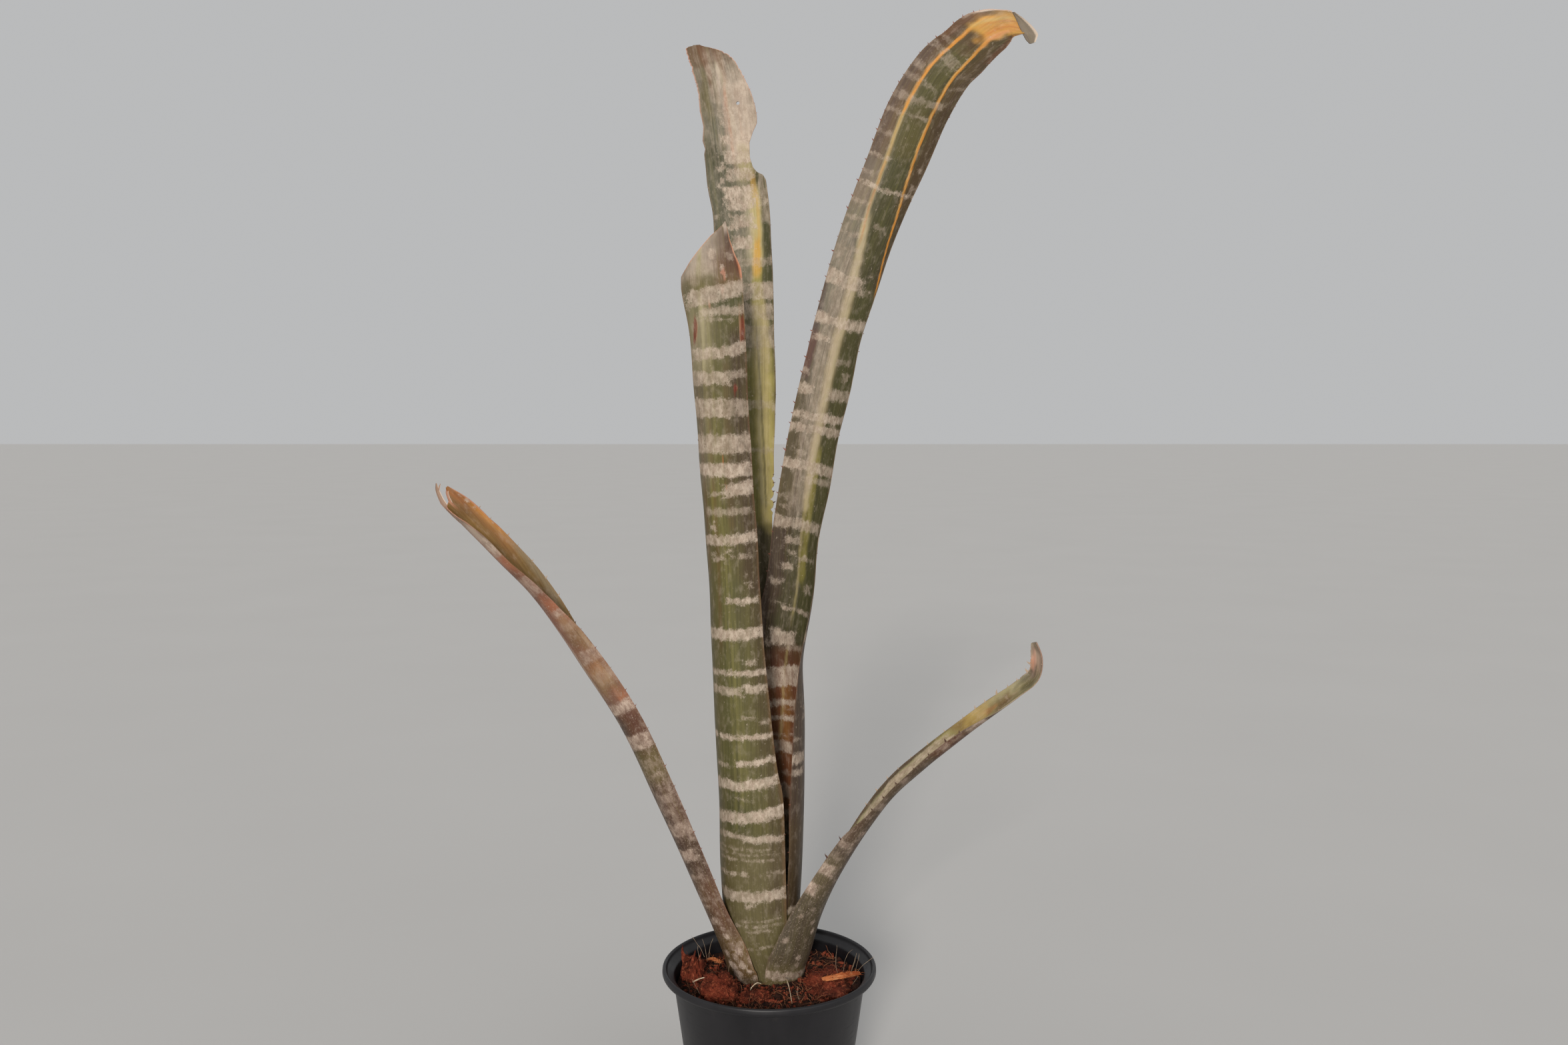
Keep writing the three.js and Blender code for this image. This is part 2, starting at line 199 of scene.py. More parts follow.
LOWER_RIGHT_STATIONS = [
    (19, 4.5, 106, 26, 60, -123), (22, 4, 119, 30, 62, -120), (26, 3, 130, 30.5, 66, -119),
    (35, 0, 160, 23.5, 74, -118), (49, -4, 191, 18.5, 80, -114), (68.5, -9, 224.5, 17, 84, -109),
    (86.5, -14, 250, 16, 84, -103), (106.5, -19, 270.5, 13.5, 82, -95), (130, -24, 292.5, 10.5, 76, -85),
    (149.5, -28, 310, 8.5, 68, -75), (167, -31, 324.5, 7, 60, -67), (178, -33, 335.5, 6.5, 52, -62),
    (180, -34, 348, 5.5, 46, -60), (177, -34, 359, 1.5, 40, -60),
]


# Numbers

def smooth(low, high, x):
    t = np.clip((x - low) / (high - low), 0.0, 1.0)
    return t * t * (3.0 - 2.0 * t)


def ripple(along, across, seed, wavelength, count=7):
    """A smooth random wave over the leaf, from about -1 to 1. All lengths are in millimetres."""
    draw = random.Random(seed)
    total = np.zeros(np.broadcast(along, across).shape)
    for _ in range(count):
        turn = draw.uniform(0, 2 * math.pi)
        size = 2 * math.pi / (wavelength * draw.uniform(0.6, 1.8))
        phase = draw.uniform(0, 2 * math.pi)
        total += np.sin(size * (math.cos(turn) * along + math.sin(turn) * across) + phase)
    return total / math.sqrt(count) / 1.2


def curve_through(at, places, values):
    """A smooth line through a few values, without the corners of straight lines between them."""
    slope = np.gradient(values, places)
    at = np.clip(at, places[0], places[-1])
    k = np.clip(np.searchsorted(places, at, side="right") - 1, 0, len(places) - 2)
    step = places[k + 1] - places[k]
    t = (at - places[k]) / step
    start = values[k] * (1 + 2 * t) * (1 - t) ** 2 + slope[k] * step * t * (1 - t) ** 2
    return start + values[k + 1] * t * t * (3 - 2 * t) + slope[k + 1] * step * t * t * (t - 1)


def catmull_rom(points, steps):
    """Samples of a smooth curve through all the points, which may be tuples, vectors or array rows."""
    points = [2 * points[0] - points[1], *points, 2 * points[-1] - points[-2]]
    samples = []
    for a, b, c, d in zip(points, points[1:], points[2:], points[3:]):
        for k in range(steps):
            t = k / steps
            bend = t * (2 * a - 5 * b + 4 * c - d + t * (3 * b - a - 3 * c + d))
            samples.append(b + 0.5 * t * (c - a + bend))
    samples.append(points[-2])
    return samples


# The leaf's surface, as in the CAD model

def dense_stations(stations):
    """Close samples of every station value, with the length along the middle line from the base."""
    samples = np.array(catmull_rom(np.array(stations, float), SAMPLES_PER_STATION))
    steps = np.linalg.norm(np.diff(samples[:, :3], axis=0), axis=1)
    return np.concatenate([[0.0], np.cumsum(steps)]), samples


def stations_at(stations, along):
    length, samples = dense_stations(stations)
    return np.stack([np.interp(along, length, column) for column in samples.T], -1)


def leaf_length(stations):
    return dense_stations(stations)[0][-1]


def leaf_frame(rows):
    """Middle line, direction along, direction that the hollow faces and the leaf's own right."""
    middle = rows[:, :3]
    along = np.gradient(middle, axis=0)
    along /= np.linalg.norm(along, axis=1)[:, None]
    compass = np.radians(rows[:, 5])
    face = np.stack([np.sin(compass), -np.cos(compass), np.zeros(len(rows))], -1)
    face -= (face * along).sum(1)[:, None] * along
    face /= np.linalg.norm(face, axis=1)[:, None]
    return middle, along, face, np.cross(face, along)


def surface(rows, across):
    """Points for each across value, with the directions towards the hollow, along the arc and up."""
    middle, along, face, side = leaf_frame(rows)
    roll = np.radians(rows[:, 4:5])
    radius = (rows[:, 3:4] / roll)[..., None]
    angle = across * roll
    c, s = np.cos(angle)[..., None], np.sin(angle)[..., None]
    face, side = face[:, None], side[:, None]
    points = middle[:, None] + face * radius * (1 - c) + side * radius * s
    return points, face * c - side * s, side * c + face * s, along[:, None]


# Painting: every mark is in millimetres along the leaf and in half widths across it

def paint(colour, along, across, strokes, seed):
    """Lays strokes over a colour field. A stroke is its colour, strength and softness, and then rows of
    (along, across, half width of the stroke)."""
    wobble = ripple(along, across * RIPPLE_WIDTH, seed, STROKE_RIPPLE)
    shaken = along + 2.0 * wobble
    for tint, strength, soft, *rows in strokes:
        lengths, middles, widths = np.array(sorted(rows), float).T
        centre = curve_through(along, lengths, middles)
        width = np.maximum(0.01, curve_through(along, lengths, widths))
        off = np.abs(across - centre + (0.10 * width + 0.003) * wobble) / width
        inside = 1.0 - smooth(1.0 - soft, 1.0 + soft, off)
        fade = 2.0 + 14.0 * soft
        ends = smooth(lengths[0] - fade, lengths[0] + fade * 0.4, shaken)
        ends *= 1.0 - smooth(lengths[-1] - fade * 0.4, lengths[-1] + fade, shaken)
        alpha = (strength * inside * ends)[..., None]
        colour = colour * (1 - alpha) + np.array(tint) * alpha
    return colour


def band_depths(along, across, half, bands, spots):
    """Depth of every point inside each silver band and spot, in millimetres, with the mark's strength.
    A band is (along, half thickness, from, to, strength), with its tilt and sag after that where it has
    them, and a spot is (along, across, radius, strength)."""
    for place, thick, start, end, strength, *lean in bands:
        tilt, sag = lean or (0, 0)
        middle = place + tilt * across - sag * (1 - across * across)
        depth = thick - np.abs(along - middle)
        depth = np.minimum(depth, (across - start) * half * BAND_END + thick * 0.3)
        yield np.minimum(depth, (end - across) * half * BAND_END + thick * 0.3), strength
    for place, centre, radius, strength in spots:
        yield radius - np.hypot(along - place, (across - centre) * half), strength


def band_field(along, across, half, bands, spots):
    """Signed distance into the deepest mark at each point, in millimetres, and that mark's strength."""
    best = np.full(along.shape, NO_SILVER)
    amount = np.ones(along.shape)
    for depth, strength in band_depths(along, across, half, bands, spots):
        nearer = depth > best
        best = np.where(nearer, depth, best)
        amount = np.where(nearer, strength, amount)
    return np.clip(best, NO_SILVER, -NO_SILVER), amount


def patch_field(along, across, patches, seed):
    """The strongest of the soft patches: (along from, along to, across from, across to, strength)."""
    total = np.zeros(along.shape)
    wobble = ripple(along, across * RIPPLE_WIDTH, seed, PATCH_RIPPLE)
    along = along + 3 * wobble
    across = across + 0.05 * wobble
    for low, high, start, end, strength in patches:
        rise = smooth(low - 5, low + 3, along)
        rise *= 1 - smooth(high - 3, high + 5, along)
        spread = smooth(start - 0.12, start + 0.06, across)
        spread *= 1 - smooth(end - 0.06, end + 0.12, across)
        total = np.maximum(total, strength * rise * spread)
    return total


def random_bands(seed, low, high, count):
    """Bands for a stretch that the front view doesn't show."""
    draw = random.Random(seed)
    bands = []
    for k in range(count):
        place = low + (high - low) * (k + draw.uniform(0.2, 0.8)) / count
        thick = draw.choice((1.5, 2.5, 4.0, 5.5))
        start = draw.choice((-1.2, -1.2, -0.6, 0.0))
        end = start + draw.uniform(1.2, 2.4)
        tilt = draw.uniform(-3, 3)
        sag = draw.uniform(-1, 2)
        bands.append((place, thick, start, end, draw.uniform(0.5, 1.0), tilt, sag))
    return bands


# Leaf meshes

def write_attribute(mesh, name, kind, values):
    layer = mesh.attributes.new(name, kind, "POINT")
    key = {"FLOAT_COLOR": "color", "FLOAT_VECTOR": "vector", "FLOAT": "value"}[kind]
    layer.data.foreach_set(key, np.asarray(values, np.float32).ravel())


def finish_mesh(mesh, sharp_degrees):
    """Faces out, no loose points, smooth except over sharp edges."""
    work = bmesh.new()
    work.from_mesh(mesh)
    bmesh.ops.delete(work, geom=[v for v in work.verts if not v.link_faces], context="VERTS")
    bmesh.ops.dissolve_degenerate(work, dist=1e-7, edges=work.edges)
    bmesh.ops.recalc_face_normals(work, faces=work.faces)
    work.to_mesh(mesh)
    work.free()
    mesh.shade_smooth()
    mesh.set_sharp_from_angle(angle=math.radians(sharp_degrees))


def spine_ring(centre, up, thin, tall, wide):
    """Points around a spine, long up the leaf's margin and thin through the leaf."""
    turns = [2 * math.pi * k / SPINE_SIDES for k in range(SPINE_SIDES)]
    return [centre + (up * math.cos(turn) * tall + thin * math.sin(turn) * wide) for turn in turns]


def spine_faces(start):
    """Two rings and a tip, with the root closed."""
    faces = []
    tip = start + 2 * SPINE_SIDES
    for k in range(SPINE_SIDES):
        low, low_next = start + k, start + (k + 1) % SPINE_SIDES
        faces.append((low, low_next, low_next + SPINE_SIDES, low + SPINE_SIDES))
        faces.append((low + SPINE_SIDES, low_next + SPINE_SIDES, tip))
    faces.append(tuple(start + k for k in reversed(range(SPINE_SIDES))))
    return faces


def spine_set(leaf):
    """Small hooked spines on the margins: points, faces, flat places and colours. A row of them is
    (side, along from, along to, spacing, reach, colour)."""
    draw = random.Random(leaf["seed"])
    points, faces, places, tints = [], [], [], []
    for side_sign, low, high, spacing, reach, tint in leaf["spines"]:
        margin = leaf["right" if side_sign > 0 else "left"]
        place = low + draw.uniform(0, spacing)
        while place < high:
            row = stations_at(leaf["stations"], np.array([place - 1, place, place + 1]))
            edge = side_sign * float(np.interp(place, *zip(*margin)))
            p, hollow, arc, along = surface(row, np.full((3, 1), edge))
            base, out = p[1, 0], side_sign * arc[1, 0]
            up, thin = along[1, 0], hollow[1, 0]
            size = reach * draw.uniform(0.55, 1.25)
            lean = draw.uniform(0.2, 0.9)
            tip = base + out * size + up * size * lean + thin * size * draw.uniform(-0.15, 0.25)
            root = base - out * 0.5
            faces += spine_faces(len(points))
            points += spine_ring(root, up, thin, 0.34 * size, 0.2)
            points += spine_ring(root * 0.35 + tip * 0.65 - up * 0.12 * size, up, thin, 0.16 * size, 0.12)
            points.append(tip)
            places += [(edge * 20.0, place, 0.0)] * (2 * SPINE_SIDES + 1)
            tints += [tint] * (2 * SPINE_SIDES + 1)
            place += spacing * draw.uniform(0.75, 1.3)
    return points, faces, places, tints


def two_skins(long_steps, wide_steps, place):
    """A closed sheet: place(skin, u, v) gives the point on its upper (1) or lower (-1) skin."""
    points = []
    for skin in (1, -1):
        for i in range(long_steps + 1):
            for j in range(wide_steps + 1):
                points.append(place(skin, i / long_steps, j / wide_steps))
    size = (long_steps + 1) * (wide_steps + 1)
    grid = [[i * (wide_steps + 1) + j for j in range(wide_steps + 1)] for i in range(long_steps + 1)]
    faces = []
    for i in range(long_steps):
        for j in range(wide_steps):
            quad = (grid[i][j], grid[i + 1][j], grid[i + 1][j + 1], grid[i][j + 1])
            faces.append(quad)
            faces.append(tuple(size + k for k in reversed(quad)))
    border = [row[0] for row in grid] + grid[-1][1:] + [row[-1] for row in grid[-2::-1]] + grid[0][-2:0:-1]
    for a, b in zip(border, border[1:] + border[:1]):
        faces.append((a, a + size, b + size, b))
    return points, faces


def along_line(line, u):
    """The point at share u of a line given by a few evenly spread points."""
    spots = np.linspace(0, 1, len(line))
    return np.array([np.interp(u, spots, column) for column in zip(*line)])


def flap_set(leaf):
    """Folded or torn ends that leave the leaf's surface: sheets between two edge lines."""
    points, faces, places, tints = [], [], [], []
    for flap in leaf.get("flaps", ()):
        first, second = flap["edges"]
        thick, arch = flap["thick"], flap["arch"]

        def place(skin, u, v):
            start, end = along_line(first, u), along_line(second, u)
            ahead = along_line(first, min(u + 0.1, 1)) - along_line(first, max(u - 0.1, 0))
            normal = np.cross(ahead, end - start)
            normal /= np.linalg.norm(normal) + 1e-9
            return start * (1 - v) + end * v + normal * (arch * 4 * v * (1 - v) + skin * 0.5 * thick)

        base = len(points)
        sheet, quads = two_skins(FLAP_LONG, FLAP_WIDE, place)
        points += sheet
        faces += [tuple(base + k for k in face) for face in quads]
        for k in range(len(sheet)):
            row, column = divmod(k, FLAP_WIDE + 1)
            v = column / FLAP_WIDE
            # The strip along a flap's second edge takes its rim colour: a painted highlight where that edge
            # catches the light.
            tints.append(flap["rim"] if v > 0.85 else flap["tint"])
            places.append((v * 8.0, FLAP_PLACE + row * 1.3, 0.0))
    return points, faces, places, tints


def edge_walls(keep, rows, columns):
    """Quads that join the outer and inner skins wherever a kept cell meets a removed one."""
    count = rows * columns
    grid = np.arange(count).reshape(rows, columns)
    padded = np.pad(keep, 1)
    inner = padded[1:-1, 1:-1]
    walls = []
    for shift, ends in (
        ((-1, 0), ((0, 0), (0, 1))), ((1, 0), ((1, 1), (1, 0))),
        ((0, -1), ((1, 0), (0, 0))), ((0, 1), ((0, 1), (1, 1))),
    ):
        beside = np.roll(padded, (-shift[0], -shift[1]), (0, 1))[1:-1, 1:-1]
        i, j = np.nonzero(inner & ~beside)
        a = grid[i + ends[0][0], j + ends[0][1]]
        b = grid[i + ends[1][0], j + ends[1][1]]
        walls.append(np.stack([a, b, b + count, a + count], -1))
    return np.concatenate(walls)


def margin_detail(margin):
    """The notches and tears of a margin, without its slow changes of width."""
    padded = np.pad(margin, DETAIL_SPAN // 2, mode="edge")
    slow = np.convolve(padded, np.full(DETAIL_SPAN, 1 / DETAIL_SPAN), mode="valid")
    return np.clip(margin - slow, -0.12, 0.12)


def cell_centres(grid):
    return 0.25 * (grid[1:, 1:] + grid[:-1, 1:] + grid[1:, :-1] + grid[:-1, :-1])


class Sheet:
    """The grid of a leaf's surface. Its rows run from the base to the tip and its columns across."""

    def __init__(self, leaf):
        self.total = leaf.get("length", leaf_length(leaf["stations"]))
        body = np.arange(0, self.total - TIP_ZONE, ROW_STEP)
        tip = np.arange(self.total - TIP_ZONE, self.total, TIP_STEP)
        self.row_along = np.append(np.concatenate([body, tip]), self.total)
        self.stations = stations_at(leaf["stations"], self.row_along)
        share = np.linspace(0, 1, leaf["columns"] + 1)
        self.edge = np.abs(2 * share - 1)[None, :]
        self.across = self.spread(leaf, share)
        self.along = np.repeat(self.row_along[:, None], len(share), 1)
        self.half = np.repeat(self.stations[:, 3:4], len(share), 1)
        self.keep = np.ones((len(self.row_along) - 1, leaf["columns"]), bool)
        for hole in leaf.get("holes", ()):
            self.open_hole(*hole)

    def margin(self, leaf, side, seed, wavelength):
        """How far a margin lies from the middle line, in half widths, with its fine tears."""
        tear = leaf.get("tear", 0.0) * smooth(self.total - TEAR_ZONE, self.total - 5, self.row_along)
        wave = ripple(self.row_along, np.zeros(len(self.row_along)), seed, wavelength)
        return np.interp(self.row_along, *zip(*leaf[side])) - tear * np.abs(wave)

    def spread(self, leaf, share):
        """The columns' places across the leaf. Notches and tears bend only those near a margin."""
        left = self.margin(leaf, "left", leaf["seed"] + 1, 2.4)
        right = self.margin(leaf, "right", leaf["seed"] + 2, 2.9)
        left_detail, right_detail = margin_detail(left), margin_detail(right)
        left, right = left - left_detail, right - right_detail
        across = -left[:, None] + (left + right)[:, None] * share
        across -= left_detail[:, None] * smooth(0.8, 1.0, 1 - share)
        across += right_detail[:, None] * smooth(0.8, 1.0, share)
        return across

    def open_hole(self, hole_along, hole_across, radius):
        """Drops the cells inside a hole and draws the points around it to its rim."""
        gap_along = self.along - hole_along
        gap_across = (self.across - hole_across) * self.half
        self.keep &= np.hypot(cell_centres(gap_along), cell_centres(gap_across)) > radius
        away = np.maximum(np.hypot(gap_along, gap_across), 1e-6)
        push = np.where(away < radius * 1.45, radius / away, 1.0)
        self.along = hole_along + gap_along * push
        self.across = hole_across + gap_across * push / self.half

    def skins(self, seed):
        """Points of the outer and inner skins, with a slow wave, fine ribs and thin margins."""
        points, hollow, _, up = surface(self.stations, self.across)
        points = points + up * (self.along - self.row_along[:, None])[..., None]
        wave = ripple(self.along, self.across * self.half, seed, LEAF_WAVE)
        calm = smooth(20, 120, self.row_along)[:, None]
        points = points + hollow * ((WAVE_HEIGHT * wave * (0.4 + self.edge ** 2)) * calm)[..., None]
        reach = 0.5 * (LEAF_THICKNESS + (MARGIN_THICKNESS - LEAF_THICKNESS) * self.edge ** 4)
        ribs = RIB_HEIGHT * np.sin(self.across * self.half * 2 * math.pi / RIB_SPACING)
        relief = hollow * (reach + ribs)[..., None]
        return [(points - relief).reshape(-1, 3), (points + relief).reshape(-1, 3)]

    def faces(self):
        """Both skins' quads and the walls between them."""
        count = self.along.size
        grid = np.arange(count).reshape(self.along.shape)
        quads = np.stack([grid[:-1, :-1], grid[:-1, 1:], grid[1:, 1:], grid[1:, :-1]], -1)[self.keep]
        walls = edge_walls(self.keep, *self.along.shape)[:, ::-1]
        return np.concatenate([quads, (quads + count)[:, ::-1], walls]).tolist()

    def flat(self, level):
        """The leaf laid flat, in millimetres: the place where the material looks up its noises."""
        place = np.stack([self.across * self.half, self.along, np.full_like(self.along, level)], -1)
        return place.reshape(-1, 3)

    def painted(self, leaf, look):
        """What the material reads on one skin: its colour, silver marks, frost and specks."""
        colour = np.zeros(self.along.shape + (3,)) + np.array(look["ground"])
        colour = paint(colour, self.along, self.across, look["strokes"], leaf["seed"] + 5)
        # Rim colour on the margins: a faint painted highlight of the lit edge all along the leaf, and the
        # dry margin colour near the tip.
        rim = smooth(leaf.get("rim_start", 0.93), 1.0, self.edge) * leaf["rim_strength"]
        tip = smooth(self.total - leaf["rim_tip"], self.total - 4, self.along) * rim
        share = np.maximum(0.1 * rim, tip)[..., None]
        colour = colour + (np.array(leaf["rim"]) - colour) * share
        spots = look.get("spots", ())
        depth, amount = band_field(self.along, self.across, self.half, look["bands"], spots)
        frost = patch_field(self.along, self.across, look["frost"], leaf["seed"] + 7)
        specks = np.full(self.along.shape, look.get("specks", 1.0))
        return {"ground": colour.reshape(-1, 3), "silver": depth.ravel(), "amount": amount.ravel(),
                "frost": frost.ravel(), "specks": specks.ravel()}


def leaf_mesh(leaf):
    """A leaf of two skins, with its margins, tears and holes closed between them, and its painting."""
    sheet = Sheet(leaf)
    skins = np.concatenate(sheet.skins(leaf["seed"]))
    faces = sheet.faces()
    points, places, tints = [], [], []
    for new_points, new_faces, new_places, new_tints in (spine_set(leaf), flap_set(leaf)):
        base = len(skins) + len(points)
        faces += [tuple(base + v for v in face) for face in new_faces]
        points += new_points
        places += new_places
        tints += new_tints
    mesh = bpy.data.meshes.new(leaf["name"])
    mesh.from_pydata((np.concatenate([skins, np.array(points)]) * MM).tolist(), [], faces)

    looks = [sheet.painted(leaf, leaf[face]) for face in ("outer", "inner")]
    ground = np.concatenate([look["ground"] for look in looks] + [np.array(tints)])
    write_attribute(mesh, "ground", "FLOAT_COLOR", np.hstack([ground, np.ones((len(ground), 1))]))
    for name, plain in (("silver", NO_SILVER), ("amount", 0.0), ("frost", 0.0), ("specks", 0.0)):
        values = [look[name] for look in looks] + [np.full(len(points), plain)]
        write_attribute(mesh, name, "FLOAT", np.concatenate(values))
    flat = np.concatenate([sheet.flat(0.0), sheet.flat(INNER_LEVEL), np.array(places)])
    write_attribute(mesh, "flat", "FLOAT_VECTOR", flat)
    finish_mesh(mesh, 50)
    return mesh


# The marks on each leaf

# Each leaf has two looks, for its outer face and for the face towards the hollow. Its "left" and "right"
# margins are (along, distance from the middle line), "tear" is how ragged its end is, and "rim" is the
# colour laid on its margins: a faint painted highlight of the lit edge along the whole leaf, and the
# colour that the margins dry to towards the tip. Strokes, bands, spots, frost and spines are described
# where they are used.

FRONT_OUTER = {
    "ground": GREEN,
    "strokes": [
        (OLIVE, 0.55, 0.5, (100, -0.35, 0.3), (420, -0.5, 0.35)),
        (OLIVE, 0.45, 0.6, (300, 0, 2), (470, 0, 2)),
        (FRESH, 0.2, 0.6, (150, 0.18, 0.35), (188, 0.2, 0.3), (282, 0.08, 0.3), (371, -0.14, 0.3),
            (445, -0.22, 0.3)),
        (FRESH, 0.75, 0.5, (140, 0.3, 0.03), (188, 0.28, 0.035), (234, 0.22, 0.04), (282, 0.12, 0.04),
            (327, 0, 0.045), (371, -0.12, 0.05), (417, -0.14, 0.05), (480, -0.25, 0.06)),
        (FRESH, 0.55, 0.5, (120, 0.16, 0.03), (188, 0.17, 0.03), (234, 0.11, 0.03), (282, 0.01, 0.03),
            (327, -0.11, 0.04), (371, -0.24, 0.04), (440, -0.36, 0.05)),
        (FRESH, 0.45, 0.5, (150, 0.4, 0.04), (234, 0.34, 0.04), (327, 0.12, 0.03), (400, 0, 0.04)),
        (MOSS, 0.85, 0.6, (0, 0, 2), (112, 0, 2)),
        (OLIVE, 0.5, 0.6, (120, 0.75, 0.35), (300, 0.75, 0.35)),
        (OLIVE_YELLOW, 0.3, 0.5, (330, -0.3, 0.06), (440, -0.42, 0.06)),
        (BROWN, 0.35, 0.6, (300, -0.62, 0.12), (420, -0.72, 0.12)),
        (BROWN, 0.3, 0.6, (250, -0.1, 0.06), (400, -0.3, 0.05)),
        (BROWN, 0.25, 0.6, (330, 0.28, 0.1), (440, 0.3, 0.1)),
        (GREY, 0.35, 0.5, (360, -0.62, 0.35), (470, -0.62, 0.35)),
        # These two purple strokes along the rolled edge are painted shade where the edge turns away from the
        # light, over the leaf's own purple-brown.
        (PURPLE_AND_SHADE, 0.75, 0.5, (290, 0.9, 0.4), (370, 0.85, 0.45), (460, 0.8, 0.35)),
        (PURPLE_AND_SHADE, 0.5, 0.5, (60, 0.95, 0.25), (290, 0.95, 0.25)),
        (CREAM, 0.45, 0.5, (436, -0.55, 0.4), (478, -0.5, 0.45)),
        (GREY, 0.85, 0.5, (492, 0, 1.2), (532, 0, 1.2)),
        (SILVER, 0.55, 0.7, (498, -0.35, 0.4), (528, -0.1, 0.4)),
        (CREAM, 0.9, 0.5, (440, -0.42, 0.05), (495, -0.33, 0.07), (524, -0.2, 0.06)),
        (BROWN, 0.75, 0.9, (502, 0.5, 0.42), (512, 0.58, 0.42), (522, 0.52, 0.32), (532, 0.55, 0.3)),
        (MAROON, 0.4, 0.9, (508, 0.66, 0.22), (528, 0.6, 0.14)),
        (GREY, 0.5, 0.8, (514, 0.25, 0.3), (530, 0.5, 0.3)),
        (OLIVE, 0.85, 0.35, (490, 0.1, 1), (496, 0.1, 1)),
        (BROWN, 0.55, 0.5, (492, 0.6, 0.4), (503, 0.6, 0.4)),
        # Painted shade on one side of the hooded tip.
        (PAINTED_SHADE, 0.3, 0.9, (506, 0.75, 0.2), (518, 0.68, 0.14), (528, 0.6, 0.1)),
        (FRESH, 0.4, 0.6, (494, -0.3, 0.35), (507, -0.2, 0.15)),
        (PINK, 0.6, 0.12, (498, 0.45, 0.03), (499.5, 0.42, 0.07), (502, 0.43, 0.04)),
        (MAROON, 0.6, 0.5, (499, 0.88, 0.05), (506, 0.82, 0.06), (512, 0.74, 0.05)),
        (RUST, 0.75, 0.4, (500, 0.95, 0.04), (505, 0.92, 0.05), (509, 0.87, 0.03)),
        (PINK, 0.8, 0.5, (497, 1, 0.06), (503, 0.98, 0.06), (508, 0.9, 0.05), (514, 0.82, 0.04)),
        (PALE, 0.75, 0.3, (529, 0.64, 0.08), (532, 0.62, 0.14)),
        (SCAR, 0.9, 0.2, (455, -0.77, 0.05), (464, -0.68, 0.07), (473, -0.62, 0.04)),
        (SCAR, 0.9, 0.2, (455, 0.86, 0.07), (464, 0.9, 0.09), (470, 0.92, 0.05)),
        (PINK, 0.45, 0.6, (458, 0.8, 0.02), (468, 0.82, 0.03)),
        (PINK, 0.3, 0.6, (458, -0.66, 0.02), (468, -0.57, 0.02)),
        (SCAR, 0.85, 0.2, (421, 0.56, 0.03), (424, 0.58, 0.06), (427, 0.57, 0.03)),
        (PINK, 0.55, 0.12, (485, 0.34, 0.03), (488, 0.35, 0.05)),
        (PINK, 0.45, 0.12, (479, -0.09, 0.03), (480.5, -0.08, 0.04)),
        (RUST, 0.6, 0.2, (372, 0.1, 0.016), (377, 0.1, 0.022)),
        (RUST, 0.6, 0.2, (358, 0.16, 0.014), (361, 0.15, 0.016)),
    ],
    "bands": [
        (510, 2.6, 0.6, 0.72, 0.45), (504, 3, -0.55, -0.2, 0.5), (521, 2.5, -0.05, 0.1, 0.5),
        (486, 6, -0.75, 1.1, 0.85, 3, 0), (475, 3, -0.4, 1, 0.7, -1, 0), (469.5, 1, -0.4, 0.6, 0.6, -1, 0),
        (449, 4.2, -0.85, 0.95, 0.85, 2.5, 1), (431, 5, -1, 0.3, 0.8), (432, 3, 0.2, 0.9, 0.5, 2, 0),
        (411, 7, -1, 0.15, 0.85), (411, 6, 0.2, 0.95, 0.6), (387, 6.8, -1, 0.95, 0.8),
        (369.5, 5, -1, 0.95, 1), (353.5, 1.6, -0.4, 0.1, 0.7, 2, 0), (355, 5, 0.15, 1.1, 0.95, 3, 0),
        (341, 2.8, -0.5, 0.8, 0.55, 1, 0), (330, 2, -0.4, -0.28, 0.9), (322, 3.8, -0.9, 1, 1, 2, 0.5),
        (312, 1.6, -0.4, -0.3, 0.8), (314, 2, 0.05, 0.16, 0.8), (308, 1.8, -0.35, -0.05, 0.8),
        (310, 1.8, 0.22, 0.75, 0.7, 1, 0), (291, 2.2, 0.64, 0.76, 0.8), (280, 2.3, 0.12, 0.85, 1, 1, 0),
        (257.5, 4.4, -0.85, 1.1, 1, 1, 1), (237, 2.2, 0.55, 0.7, 0.8), (229, 2.3, -0.7, 1.1, 1, 1.5, -0.5),
        (217, 3.6, -0.5, 0.35, 0.75), (219, 3.2, 0.48, 0.95, 0.85), (199, 1.3, 0.42, 0.6, 0.6),
        (195, 1.5, 0.76, 0.9, 0.6), (185, 2.2, -0.6, 1.1, 1, 1, 0.5), (164, 1.4, -0.3, 0.02, 0.8),
        (165.5, 2.2, 0.22, 1.1, 1, 4, 0), (152.5, 4.1, -0.6, 0.95, 1, 2, 2), (141.5, 1.2, 0.2, 0.4, 0.6),
        (129.5, 4.5, -0.6, 1.1, 1, 4, 2), (115, 2.2, -0.5, 0.28, 0.85, 2, 0), (114, 2.8, 0.3, 0.95, 0.8),
        (106, 0.9, -0.4, 0.8, 0.6, 1, 0), (102.5, 0.8, -0.4, 0.8, 0.5, 1, 0),
        (98.5, 0.9, -0.4, 0.8, 0.6, 1, 0), (88, 1.5, -0.5, 0.35, 0.8, 2, 0), (89.5, 1.3, 0.75, 1, 0.7),
        (72.5, 4.2, -0.5, 0.95, 0.85, 1, 0.5), (66, 1.8, 0.28, 0.38, 0.8), (54, 1, 0.2, 0.9, 0.6, 1, 0),
        (50.5, 1, -0.2, 0.9, 0.6, 1, 0), (47, 1, 0.2, 0.7, 0.5), (33, 0.9, 0.1, 0.65, 0.7),
    ],
    "spots": [(512, 0.12, 3.2, 0.95), (334, -0.3, 1.6, 0.9), (503.5, 0.4, 1.3, 1), (498, 0.49, 1.1, 0.9)],
    "frost": [
        (440, 500, -1, 0.2, 0.3), (330, 430, -1, 0, 0.2), (496, 508, -0.8, 0.3, 0.6),
        (508, 530, -0.9, 0.3, 0.4),
    ],
}
